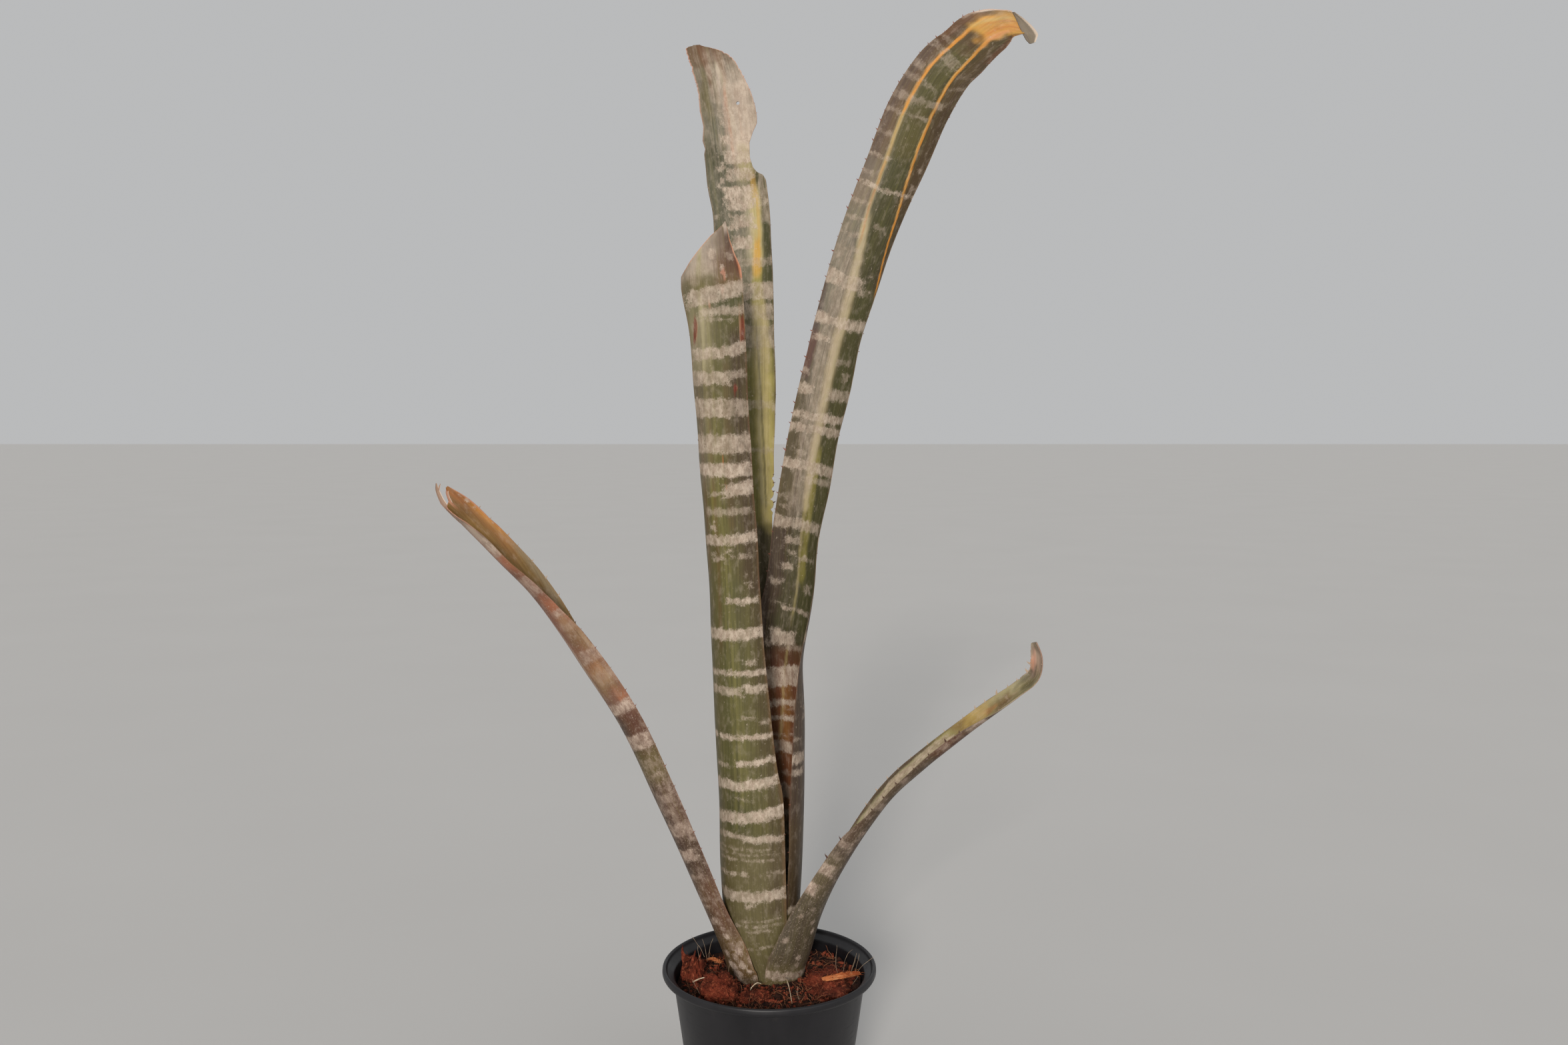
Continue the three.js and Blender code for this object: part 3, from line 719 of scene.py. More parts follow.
FRONT_INNER = {
    "ground": GREEN,
    "strokes": [
        (OLIVE, 0.7, 0.6, (0, 0, 2), (150, 0, 2)),
        (FRESH, 0.45, 0.6, (120, 0.1, 0.3), (300, 0, 0.35), (450, 0.1, 0.3)),
        (CREAM, 0.5, 0.5, (488, 0, 1), (530, 0, 1)),
        (RUST, 0.5, 0.5, (510, 0.4, 0.6), (530, 0.5, 0.5)),
    ],
    "bands": FRONT_OUTER["bands"], "frost": [(180, 500, -1, 1, 0.15)],
}
FRONT = {
    "name": "leaf_front_blade", "node": "leaf_front", "slot": "banded_leaf", "stations": FRONT_STATIONS,
    "seed": 11, "columns": 60,
    "left": [
        (0, 1), (492, 1), (499, 0.96), (509, 0.58), (517, 0.21), (524, -0.13), (528, -0.38), (532.4, -0.62),
    ],
    "right": [(0, 1), (495, 1), (502, 0.98), (510, 0.86), (521, 0.73), (528, 0.67), (532.4, 0.64)],
    "rim": (0.7, 0.3, 0.16), "rim_start": 0.9, "rim_strength": 1, "rim_tip": 42,
    "spines": [(-1, 60, 480, 34, 0.8, MAROON), (1, 60, 500, 30, 0.9, MAROON)],
    "outer": FRONT_OUTER, "inner": FRONT_INNER,
}

BACK_OUTER = {
    "ground": GREEN,
    "strokes": [
        (OLIVE, 0.7, 0.6, (0, 0, 2), (200, 0, 2)),
        (FRESH, 0.35, 0.6, (200, 0.2, 0.3), (560, 0.1, 0.3)),
        (PURPLE_AND_SHADE, 0.5, 0.5, (120, -0.9, 0.5), (600, -0.9, 0.4)),
        (GREY, 0.6, 0.6, (600, 0, 1.4), (680, 0, 1.4)),
        (BROWN, 0.6, 0.5, (660, 0, 1.4), (680, 0, 1.4)),
    ],
    "bands": random_bands(6, 40, 640, 36), "frost": [(560, 672, -1, 1, 0.5)],
}
BACK_INNER = {
    "ground": GREEN,
    "strokes": [
        (OLIVE, 0.6, 0.6, (0, 0, 2), (330, 0, 2)),
        # Painted shadow of the front leaf over the lower part of this face.
        (PAINTED_SHADE, 0.6, 0.6, (0, 0, 2), (326, 0, 2)),
        (DEEP_GREEN, 0.75, 0.5, (330, 0.45, 0.75), (600, 0.62, 0.5)),
        (OLIVE_YELLOW, 0.35, 0.6, (330, -0.5, 0.5), (450, -0.4, 0.5)),
        (HAZE, 0.65, 0.6, (350, 0.75, 0.35), (470, 0.75, 0.4), (600, 0.75, 0.4)),
        (GREY, 0.5, 0.6, (606, 0.4, 1), (680, 0.4, 1.2)),
        (BROWN, 0.6, 0.5, (664, -0.1, 1.2), (678, 0.2, 1.2)),
        (CREAM, 0.5, 0.6, (600, -0.1, 0.1), (640, 0, 0.1), (660, 0.1, 0.08)),
        (PALE, 0.6, 0.7, (600, -0.25, 0.3), (614, -0.62, 0.25), (628, -0.62, 0.25), (642, -0.6, 0.18)),
        (PALE, 0.5, 0.7, (603, 0.42, 0.07), (635, 0.3, 0.07), (660, 0.09, 0.06)),
        (PALE, 0.4, 0.7, (598, -0.1, 0.3), (608, -0.1, 0.3)),
        (PINK, 0.35, 0.6, (608, 0.18, 0.04), (630, 0.12, 0.05), (648, -0.01, 0.05)),
        (RUST, 0.4, 0.5, (607, -0.33, 0.03), (626, -0.36, 0.03)),
        (GREEN, 0.6, 0.6, (628, 0.76, 0.14), (645, 0.68, 0.12), (654, 0.6, 0.09)),
        (DEEP_GREEN, 0.6, 0.3, (616.5, 0.7, 0.14), (620, 0.68, 0.12)),
        (DEEP_GREEN, 0.5, 0.3, (615.5, 0.24, 0.09), (617, 0.24, 0.08)),
        (BROWN, 0.45, 0.12, (610.4, -0.2, 0.42), (611, -0.2, 0.42)),
        (BROWN, 0.7, 0.4, (645, 0.46, 0.07), (660, 0.44, 0.1), (676, 0.5, 0.12)),
        (BROWN, 0.7, 0.4, (652, -0.05, 0.06), (668, 0, 0.12)),
        (BROWN, 0.8, 0.5, (626, -0.34, 0.09), (631, -0.34, 0.14), (637, -0.34, 0.09)),
        (OLIVE, 0.6, 0.5, (608, 0.55, 0.12), (640, 0.72, 0.14), (656, 0.6, 0.1)),
        (OLIVE, 0.45, 0.5, (600, 0.3, 0.1), (650, 0.35, 0.08)),
        (HAZE, 0.8, 0.7, (612, 0.5, 0.4), (621, 0.5, 0.38)),
        (HAZE, 0.7, 0.6, (600, 0.68, 0.2), (610, 0.66, 0.2)),
        (DEEP_GREEN, 0.8, 0.5, (583, 0.3, 0.3), (598, 0.75, 0.4)),
        (YELLOW, 0.85, 0.5, (330, -0.76, 0.22), (391, -0.67, 0.24), (427, -0.63, 0.25), (464, -0.57, 0.25),
            (487, -0.5, 0.2)),
        (OLIVE_YELLOW, 0.5, 0.6, (330, -0.85, 0.12), (391, -0.86, 0.1), (450, -0.86, 0.08)),
        (GREEN, 0.6, 0.5, (340, -0.66, 0.03), (391, -0.6, 0.03), (470, -0.42, 0.03)),
        (CREAM, 0.5, 0.5, (345, -0.56, 0.05), (391, -0.5, 0.05), (470, -0.5, 0.06)),
        (OLIVE_YELLOW, 0.85, 0.4, (488, -0.48, 0.17), (515, -0.45, 0.17)),
        (CREAM, 0.7, 0.4, (520, -0.4, 0.26), (566, -0.42, 0.26)),
        (YELLOW, 0.75, 0.4, (520, -0.46, 0.19), (566, -0.5, 0.19)),
        (AMBER, 0.85, 0.5, (511, -0.45, 0.14), (520, -0.46, 0.13), (530, -0.5, 0.1)),
        (AMBER, 0.35, 0.5, (530, -0.56, 0.06), (562, -0.58, 0.06)),
        (AMBER, 0.55, 0.5, (566, -0.52, 0.09), (577, -0.52, 0.09)),
        (YELLOW, 0.5, 0.6, (578, -0.3, 0.25), (602, -0.35, 0.2)),
        (PALE, 0.5, 0.7, (600, -0.45, 0.5), (648, -0.35, 0.4)),
        (DEEP_GREEN, 0.7, 0.4, (500, -0.95, 0.06), (516, -0.95, 0.12), (545, -0.93, 0.16)),
        (RUST, 0.4, 0.5, (590, 0.02, 0.05), (640, 0.05, 0.05)),
    ],
    "bands": [
        (605, 4, -0.7, 0.25, 0.95, 1, 0), (593, 5.5, -0.6, 0.27, 1, 1, 0), (580, 4.8, -0.5, 0.25, 0.9, 1, 0),
        (563, 9.5, -0.26, 0.27, 1, 1, 0), (546, 5.5, -0.24, 0.27, 1), (531, 5.5, -0.22, 0.29, 0.95),
        (561, 6, -1.1, -0.78, 0.7), (622, 8, -0.9, 0.1, 0.75), (640, 7, -0.75, 0, 0.7),
        (516.5, 3.2, -1.1, 0.25, 0.55), (496, 6.5, -1.1, 0.3, 0.8), (481, 6, -0.95, 0.1, 0.6),
        (463, 9, -0.9, -0.1, 0.5), (414, 3.5, -0.95, 0.2, 0.5), (381, 2.4, -0.95, 0, 0.45),
        (585, 2.2, 0.38, 0.55, 0.8), (576, 2, 0.4, 0.52, 0.8), (550, 2.2, 0.8, 1, 0.5),
    ] + random_bands(5, 60, 250, 8),
    "frost": [
        (604, 672, -1.1, 0.5, 0.45), (592, 662, -1.1, 0.12, 0.68), (632, 662, 0.1, 0.5, 0.68),
        (604, 662, 0.5, 1.1, 0.45), (500, 604, -0.35, 0.3, 0.5), (440, 490, -0.9, 0, 0.45),
        (540, 604, -1.1, -0.7, 0.62), (450, 604, 0.3, 1.1, 0.42),
    ],
}
BACK = {
    "name": "leaf_back_blade", "node": "leaf_back_left", "slot": "banded_leaf", "stations": BACK_STATIONS,
    "seed": 23, "columns": 56,
    "left": [
        (0, 1), (300, 0.9), (320, 0.82), (334, 0.83), (336.5, 0.86), (338, 0.77), (339.5, 0.85), (342, 0.88),
        (344.5, 0.86), (345.7, 0.77), (347, 0.85), (350, 0.885), (352, 0.87), (353.2, 0.78), (354.5, 0.87),
        (357, 0.9), (359.5, 0.87), (360.7, 0.8), (362, 0.88), (366, 0.9), (390, 0.93), (420, 1), (560, 0.99),
        (572, 0.97), (577, 0.87), (580, 0.68), (584, 0.57), (591, 0.51), (602, 0.55), (609, 0.71),
        (614, 0.9), (619, 0.95), (626, 0.95), (635, 0.87), (647, 0.68), (655, 0.56), (660, 0.5), (666, 0.36),
        (671, 0.12), (674, -0.14), (676.6, -0.55),
    ],
    "right": [
        (0, 0.9), (200, 0.76), (330, 0.76), (370, 0.86), (420, 1), (596, 1), (600, 0.94), (606, 1),
        (616, 0.93), (628, 1), (640, 0.95), (648, 0.97), (663, 0.95), (674, 1), (675.5, 0.92), (676.6, 0.7),
    ],
    "tear": 0.04, "holes": [(631, -0.34, 1.3)], "rim": (0.75, 0.4, 0.3), "rim_start": 0.95,
    "rim_strength": 1, "rim_tip": 110,
    "spines": [
        (-1, 336, 364, 7.6, 1.7, DARK_SPINE), (-1, 380, 560, 15, 0.8, MAROON), (-1, 616, 655, 9, 0.7, PINK),
        (1, 560, 668, 10, 0.7, PALE_SPINE),
    ],
    "outer": BACK_OUTER, "inner": BACK_INNER,
}

TALL_OUTER = {
    "ground": (0.085, 0.066, 0.05),
    "strokes": [
        (OLIVE, 0.7, 0.6, (0, 0, 2), (120, 0, 2)),
        (PURPLE_AND_SHADE, 0.8, 0.5, (60, -0.8, 0.4), (330, -0.8, 0.4)),
        (GREEN, 0.5, 0.6, (180, 0.1, 0.4), (560, 0, 0.4)),
        (BROWN, 0.6, 0.6, (680, 0, 1.4), (732, 0, 1.4)),
    ],
    "bands": [
        (167, 4.2, -1.1, -0.55, 0.85), (157.5, 2.8, -1.1, -0.6, 0.75), (180, 1.5, -1.1, -0.8, 0.5),
    ] + random_bands(9, 190, 700, 34) + random_bands(10, 20, 90, 3),
    "frost": [(560, 732, -1.2, 1.2, 0.5), (180, 560, -1.2, 1.2, 0.15)],
}
TALL_INNER = {
    "ground": (0.056, 0.05, 0.022),
    "strokes": [
        (BROWN, 0.85, 0.5, (110, 0, 2), (238, 0, 2)),
        (MAROON, 0.3, 0.5, (205, 0.4, 0.5), (240, 0.4, 0.6)),
        (PURPLE_AND_SHADE, 0.5, 0.6, (222, 0.7, 0.5), (246, 0.7, 0.5)),
        (MAROON, 0.5, 0.6, (140, 0.2, 0.8), (230, 0.2, 0.8)),
        (RUST, 0.1, 0.6, (120, 0.3, 0.7), (222, 0.3, 0.7)),
        (OLIVE, 0.5, 0.5, (540, 0.8, 0.35), (700, 0.8, 0.35)),
        (BROWN, 0.45, 0.6, (560, 0.8, 0.3), (712, 0.8, 0.3)),
        (BROWN, 0.3, 0.6, (560, -0.7, 0.3), (700, -0.6, 0.3)),
        # Painted shade along the middle of this face towards the tip.
        (PAINTED_SHADE, 0.3, 0.5, (660, 0.12, 0.36), (700, 0.15, 0.36)),
        (BROWN, 0.4, 0.6, (682, 0.12, 0.3), (705, 0.15, 0.3)),
        (MAROON, 0.35, 0.6, (600, 0.92, 0.25), (712, 0.94, 0.25)),
        (PURPLE_AND_SHADE, 0.55, 0.5, (580, 0.95, 0.2), (720, 0.95, 0.25)),
        (PURPLE_AND_SHADE, 0.5, 0.5, (500, -0.9, 0.25), (712, -0.9, 0.35)),
        (GREEN, 0.6, 0.5, (520, 0, 0.35), (640, 0.12, 0.35)),
        (OLIVE, 0.5, 0.5, (600, 0.08, 0.34), (684, 0.14, 0.34)),
        (GREEN, 0.55, 0.5, (640, 0.12, 0.34), (684, 0.14, 0.34)),
        (GREEN, 0.8, 0.5, (250, -0.5, 0.5), (500, -0.55, 0.4)),
        (GREY, 0.6, 0.4, (340, 0.4, 0.3), (430, 0.42, 0.3), (520, 0.6, 0.5)),
        (GREY, 0.3, 0.6, (525, 0.66, 0.4), (590, 0.75, 0.35)),
        (MOSS, 0.35, 0.6, (345, 0.42, 0.3), (430, 0.44, 0.3), (525, 0.6, 0.45)),
        (PURPLE_AND_SHADE, 0.85, 0.4, (240, 0.95, 0.3), (330, 0.85, 0.4), (430, 0.92, 0.28), (505, 0.98, 0.12)),
        (OLIVE, 0.4, 0.5, (330, 0.85, 0.35), (430, 0.92, 0.28)),
        (MAROON, 0.6, 0.4, (438, 0.9, 0.16), (462, 0.88, 0.18)),
        (TAN, 0.75, 0.7, (345, 0.09, 0.12), (377, 0.11, 0.13), (410, 0.11, 0.14), (449, 0.12, 0.14),
            (494, 0.12, 0.14), (520, 0.22, 0.12), (545, 0.34, 0.1)),
        (PALE, 0.28, 0.7, (345, 0.1, 0.09), (449, 0.12, 0.1), (494, 0.12, 0.1), (545, 0.34, 0.08)),
        (CREAM, 0.4, 0.6, (345, 0.06, 0.03), (449, 0.06, 0.03), (494, 0.08, 0.04), (545, 0.36, 0.03)),
        (YELLOW, 0.4, 0.5, (262, 0.1, 0.035), (300, 0.1, 0.04), (345, 0.1, 0.06)),
        (OLIVE_YELLOW, 0.6, 0.5, (290, -0.05, 0.12), (345, -0.08, 0.1), (380, -0.08, 0.08)),
        (YELLOW, 0.35, 0.5, (175, 0.5, 0.035), (219, 0.31, 0.035), (240, 0.12, 0.035)),
        (AMBER, 0.12, 0.5, (165, 0.4, 0.1), (215, 0.25, 0.1)),
        (TAN, 0.75, 0.6, (536, 0.35, 0.07), (563, 0.45, 0.06), (598, 0.5, 0.055), (650, 0.53, 0.05)),
        (RUST, 0.4, 0.6, (536, 0.33, 0.03), (552, 0.41, 0.03), (590, 0.5, 0.03)),
        (AMBER, 0.35, 0.5, (575, 0.47, 0.03), (598, 0.5, 0.035), (640, 0.53, 0.036)),
        (ORANGE, 0.95, 0.4, (632, 0.53, 0.036), (657, 0.53, 0.042), (686, 0.54, 0.048), (701, 0.58, 0.06),
            (716, 0.7, 0.1)),
        (ORANGE, 0.9, 0.4, (500, -0.86, 0.034), (530, -0.69, 0.036), (556, -0.57, 0.04), (577, -0.43, 0.044),
            (602, -0.32, 0.045), (627, -0.3, 0.047), (648, -0.29, 0.048), (674, -0.24, 0.05),
            (689, -0.19, 0.052), (701, -0.14, 0.06), (714, -0.1, 0.1)),
        (YELLOW, 0.45, 0.5, (560, -0.52, 0.02), (602, -0.29, 0.02), (650, -0.27, 0.02), (690, -0.17, 0.02)),
        (AMBER, 0.85, 0.4, (704, 0.3, 0.45), (714, 0.22, 0.62), (724, 0.1, 0.8), (736, -0.2, 0.8)),
        (ORANGE, 0.5, 0.5, (706, 0, 0.2), (730, -0.1, 0.3)),
        (PINK, 0.22, 0.7, (708, 0.2, 0.5), (732, 0, 0.8)),
        (PINK, 0.35, 0.5, (706, -0.1, 0.12), (722, -0.35, 0.12)),
        (RUST, 0.35, 0.7, (708, 0.1, 0.05), (734, -0.1, 0.06)),
        (RUST, 0.3, 0.7, (712, 0.45, 0.04), (726, 0.35, 0.06)),
        (YELLOW, 0.4, 0.7, (706, 0.62, 0.06), (722, 0.55, 0.08)),
        (BROWN, 0.7, 0.4, (686, 0.98, 0.16), (704, 0.98, 0.18), (716, 0.98, 0.2)),
        (MAROON, 0.5, 0.4, (690, -0.86, 0.14), (716, -0.82, 0.16), (732, -0.76, 0.12)),
        (PALE, 0.85, 0.3, (709, 1.03, 0.05), (718, 1.05, 0.05), (728, 1, 0.06)),
    ],
    "bands": [
        (572.5, 1.7, -1.1, 1.1, 0.8, 1.5, 0), (640, 3, -0.55, 1.1, 0.4), (629, 1.6, -0.2, 1.1, 0.4),
        (595, 1.6, 0.35, 1.1, 0.6), (675, 4, -0.05, 0.42, 0.45, 3, 0), (677, 2.6, 0.62, 0.9, 0.45),
        (662, 2.6, 0.68, 1.1, 0.45), (653, 2.2, 0.05, 0.4, 0.4), (582, 2.6, 0.7, 1.05, 0.5),
        (548, 2, 0.42, 1.1, 0.6), (546, 2, -0.3, 0.1, 0.4, 5, 0), (612, 1.8, 0.55, 1.1, 0.35),
        (654, 2.2, 0.58, 1.1, 0.35), (686, 2.4, 0.6, 1, 0.3), (590, 1.6, -0.85, -0.7, 0.5),
        (577, 2.2, -1, -0.7, 0.45), (656, 2, -1.1, -0.5, 0.25), (560, 1.8, 0.5, 1.1, 0.5),
        (536, 2.2, 0.45, 1.1, 0.5), (526, 1.8, 0.35, 1.1, 0.5), (503, 5.5, -0.1, 1.1, 0.85, 2, 0),
        (510, 1.6, -0.5, -0.3, 0.55), (497, 2.5, -0.5, -0.15, 0.6), (474, 4.4, -1.1, 1.1, 0.9, 1, 0),
        (462, 2.6, 0.35, 0.85, 0.85), (447, 2.6, -0.55, -0.1, 0.4), (437, 2.2, 0.74, 0.92, 0.6),
        (436, 3, -0.6, -0.4, 0.55), (424, 3.8, 0.5, 1.1, 0.85, 1, 0), (423, 4.4, -1, -0.05, 0.65),
        (406, 3.6, -1.1, 1.1, 0.9), (397, 3.6, -1.1, 1.1, 0.9), (379, 2.6, 0.25, 0.65, 0.7),
        (370, 4.4, -1.1, 1.1, 0.95, 1, 0), (361, 2.6, -0.9, 0.35, 0.6), (347, 2, 0.3, 0.95, 0.4),
        (339, 1.6, 0.66, 0.8, 0.6), (328, 4.2, -0.7, 1.1, 0.8, 1, 0), (317, 2.6, 0.15, 0.5, 0.8),
        (308, 2.2, 0.3, 0.42, 0.8), (304.5, 2.4, -0.6, 0.18, 0.8, 1, 0), (298, 2.8, 0.25, 0.55, 0.95),
        (286, 2.6, 0.6, 0.85, 0.6), (284, 3.2, -0.5, -0.28, 0.7), (267, 2, -0.6, 0.4, 0.9),
        (270, 1.2, 0.3, 0.7, 0.5), (246, 5.5, 0, 0.6, 1), (240, 2.6, -0.6, 0.2, 0.5),
        (220, 7.4, -1.1, 1.1, 1), (200.5, 3.2, -0.5, 1.1, 1), (195, 0.9, 0, 0.45, 0.7),
        (188.5, 2.3, -0.3, 1.1, 1), (176, 1, 0.1, 0.7, 0.7), (166.5, 4.8, -0.3, 1.1, 0.95),
        (148, 1.5, 0.3, 0.5, 0.5),
    ] + random_bands(8, 30, 140, 7),
    "frost": [
        (335, 522, 0.16, 0.66, 0.6), (335, 522, -0.05, 0.2, 0.35), (515, 540, 0.45, 1.05, 0.55),
        (540, 574, 0.45, 1.05, 0.36), (574, 690, 0.58, 1.05, 0.14), (250, 335, 0, 0.45, 0.35),
        (574, 700, -0.3, 0.45, 0.18), (330, 420, -1, 0, 0.15), (640, 700, -1.05, -0.4, 0.25),
    ],
}
TALL = {
    "name": "leaf_tall_blade", "node": "leaf_right_tall", "slot": "banded_leaf", "stations": TALL_STATIONS,
    "seed": 37, "columns": 56,
    "left": [
        (0, 1), (320, 1), (380, 0.93), (430, 0.91), (520, 0.89), (560, 0.92), (600, 0.97), (640, 1),
        (684, 0.94), (700, 0.9), (710, 0.89), (717, 0.93), (725, 0.88), (735.6, 0.8),
    ],
    "right": [
        (0, 1), (340, 1), (400, 0.96), (450, 0.91), (490, 0.93), (530, 0.98), (570, 1), (690, 1),
        (699, 1.04), (711, 1.06), (716, 1.1), (721, 1.05), (725.5, 1.03), (728, 0.6), (730, 0.3),
        (732, -0.1), (734, -0.5), (735.6, -0.78),
    ],
    "length": 735.6, "tear": 0.02, "rim": PINK, "rim_start": 0.95, "rim_strength": 0.7, "rim_tip": 40,
    "spines": [
        (1, 330, 600, 9.6, 1.8, RED_SPINE), (1, 600, 712, 6.6, 1.5, RED_SPINE),
        (-1, 590, 690, 9, 1.2, RED_SPINE), (1, 60, 330, 14, 1.2, RED_SPINE),
        (-1, 60, 590, 15, 0.9, RED_SPINE), (1, 690, 722, 8, 0.8, PALE_SPINE),
    ],
    "flaps": [
        {
            "edges": [
                [(172.5, 59.5, 794.4), (175.1, 60.5, 789.6), (177.7, 61.5, 784.8), (180.4, 62.5, 780),
                 (183, 63.5, 776.1), (185.6, 64.5, 774)],
                [(173.6, 60, 794.6), (180.9, 63.5, 791.2), (186.7, 66.5, 787.6), (190.5, 68.5, 784.5),
                 (192.6, 69.5, 781.5), (190.7, 69, 776.2)],
            ],
            # A grey-brown dry tip, darkened as painted shade where it bends back from the light, with a
            # painted highlight along its edge.
            "thick": 0.6, "arch": -1.2, "tint": (0.22, 0.175, 0.13), "rim": PALE,
        },
    ],
    "outer": TALL_OUTER, "inner": TALL_INNER,
}

LOWER_LEFT_OUTER = {
    "ground": (0.098, 0.052, 0.035),
    "strokes": [
        # The strokes in the near-black shade colour in this list are painted shade: over the side turned
        # from the light, and low on the leaf.
        (PAINTED_SHADE, 0.65, 0.7, (70, -0.15, 0.5), (180, -0.2, 0.5), (280, 0, 0.45)),
        (MAROON, 0.5, 0.6, (290, 0.6, 0.6), (345, 0.6, 0.6)),
        (RUST, 0.4, 0.6, (298, 0.85, 0.3), (308, 0.8, 0.3)),
        (RUST, 0.35, 0.6, (338, 1.1, 0.35), (350, 1.1, 0.35)),
        (SILVER_SHADE, 0.5, 0.7, (356, 1.2, 0.5), (392, 1.2, 0.5)),
        (BROWN, 0.6, 0.6, (250, 0.6, 0.6), (290, 0.6, 0.6)),
        (OLIVE, 0.6, 0.6, (232, 0.4, 0.5), (258, 0.4, 0.5)),
        (MAROON, 0.45, 0.6, (196, 0.8, 0.5), (216, 0.7, 0.5)),
        (OLIVE, 0.6, 0.6, (165, 0.5, 0.8), (185, 0.5, 0.8)),
        (PURPLE_AND_SHADE, 0.7, 0.6, (94, 0.5, 0.8), (113, 0.5, 0.8)),
        (BROWN, 0.35, 0.6, (40, 0.4, 0.8), (80, 0.4, 0.8)),
        (BROWN, 0.75, 0.6, (0, 0.5, 0.8), (36, 0.5, 0.8)),
        (OLIVE, 0.35, 0.6, (2, 0.5, 0.9), (40, 0.5, 0.9)),
        (PAINTED_SHADE, 0.35, 0.6, (10, 0.2, 0.3), (60, 0.1, 0.3)),
        (TAN, 0.35, 0.6, (284, 0.75, 0.25), (291, 0.75, 0.2)),
        (OLIVE, 0.6, 0.5, (272, 0.65, 0.25), (279, 0.68, 0.25)),
        (CREAM, 0.4, 0.5, (268, 0.92, 0.08), (276, 0.9, 0.08)),
        (RUST, 0.25, 0.5, (248, 0.5, 0.3), (254, 0.5, 0.3)),
        (TAN, 0.3, 0.6, (242, 0.6, 0.3), (247, 0.6, 0.3)),
        (RUST, 0.4, 0.5, (224, 0.8, 0.16), (229, 0.76, 0.18)),
        (PAINTED_SHADE, 0.45, 0.5, (223, 0.35, 0.3), (227, 0.37, 0.3)),
        (PALE, 0.4, 0.5, (236, 0.02, 0.06), (265, 0.12, 0.06), (300, 0.1, 0.06)),
        (PAINTED_SHADE, 0.7, 0.5, (0, 0.5, 0.9), (6, 0.5, 0.9)),
        (PINK, 0.3, 0.6, (340, 0.8, 0.3), (400, 0.6, 0.5)),
        (PALE, 0.4, 0.5, (356, 1.2, 0.2), (376, 1.3, 0.2)),
        (MAROON, 0.4, 0.5, (384, 0.6, 0.5), (400, 0.5, 0.5)),
        (PINK, 0.22, 0.6, (222, 0.5, 0.9), (330, 0.5, 0.9)),
    ],
    "bands": [
        (358, 8, 0.3, 1.5, 0.7), (323, 8, 0.2, 1.1, 0.6), (298, 3, 0.6, 0.95, 0.65),
        (287, 3, 0.5, 0.95, 0.3), (262, 5.5, 0.4, 1, 0.6), (245, 4, 0.35, 0.95, 0.35),
        (219.5, 4.6, 0.05, 0.9, 1), (193, 6, 0, 0.8, 0.9), (124, 5.5, 0.1, 0.95, 0.7),
        (149, 4, 0.3, 0.75, 0.6), (139, 3, 0.2, 0.6, 0.6), (104, 5, 0, 0.65, 0.85), (87, 2.4, 0.1, 0.6, 0.6),
        (69, 2, 0, 0.5, 0.6), (64, 1.6, 0, 0.45, 0.6), (51, 2.6, 0.1, 0.5, 0.6), (32, 2.4, 0.5, 0.9, 0.6),
        (4, 1.6, 0.2, 0.6, 0.4), (210, 4, -1.1, -0.1, 0.8, 2, 0), (250, 5, -1.1, -0.1, 0.7, 2, 0),
        (284, 2.5, -1.1, -0.05, 0.7), (318, 4, -1.1, -0.1, 0.6, -2, 0), (352, 5, -1.1, 0, 0.6),
    ],
    "spots": [
        (19, 0.4, 4.2, 1.4), (20.5, 0.72, 3.2, 1.2), (11.8, 0.47, 4.6, 1.5), (14.4, 0.84, 3, 1.2),
        (5.6, 0.45, 2.6, 1), (7.3, 0.93, 2.2, 1), (27.5, 0.28, 2.6, 1), (29.3, 0.75, 3.2, 1.2),
        (25, 0.55, 2.4, 1), (22.6, 1, 2.4, 0.9), (33.5, 0.62, 2.6, 1), (39.7, 0.54, 2.6, 1),
        (46, 0.5, 2.4, 0.9), (52.4, 0.38, 3, 1), (168, 0.7, 2, 0.9), (160, 0.5, 1.4, 0.7),
    ],
    "frost": [
        (114, 182, -0.4, 1.1, 0.5), (58, 98, -0.4, 1.1, 0.42), (196, 216, 0.4, 1.1, 0.35),
        (216, 256, -0.2, 1.1, 0.3), (255, 400, 0.3, 1.5, 0.36), (34, 60, 0, 1, 0.35),
    ],
}
LOWER_LEFT_INNER = {
    "ground": (0.26, 0.142, 0.037), "specks": 0.12,
    "strokes": [
        # Painted shade on the far half of this face, near the fold.
        (PAINTED_SHADE, 0.4, 0.7, (290, 0.5, 0.5), (390, 0.5, 0.45)),
        (BROWN, 0.45, 0.7, (300, -0.55, 0.25), (345, -0.45, 0.25), (390, -0.35, 0.25)),
        (TAN, 0.3, 0.7, (310, -0.92, 0.12), (350, -0.88, 0.14), (372, -0.8, 0.12)),
        (OLIVE, 0.3, 0.6, (290, -0.7, 0.4), (335, -0.7, 0.4)),
        (RUST, 0.3, 0.7, (350, -0.9, 0.3), (395, -0.85, 0.35)),
        (ORANGE, 0.45, 0.6, (360, -0.94, 0.12), (376, -0.93, 0.2), (390, -1, 0.2)),
        (PINK, 0.4, 0.5, (364, -0.96, 0.06), (376, -0.96, 0.06), (392, -1.12, 0.08)),
        (BROWN, 0.5, 0.6, (386, -0.4, 0.8), (404, -0.5, 0.8)),
        (RUST, 0.3, 0.6, (396, -0.8, 0.4), (406, -0.9, 0.4)),
        (PINK, 0.7, 0.4, (396, 0.1, 0.14), (404, 0, 0.2)),
        (GREY, 0.4, 0.6, (300, -0.95, 0.2), (350, -0.95, 0.2)),
    ],
    "bands": [],
    "frost": [(60, 300, -1, 1, 0.2), (300, 396, -1, 1, 0.08)],
    "spots": [(391, -0.98, 1.1, 1), (397, -0.95, 0.9, 0.9), (384, -0.84, 1.1, 1), (369, -0.88, 1, 0.9)],
}
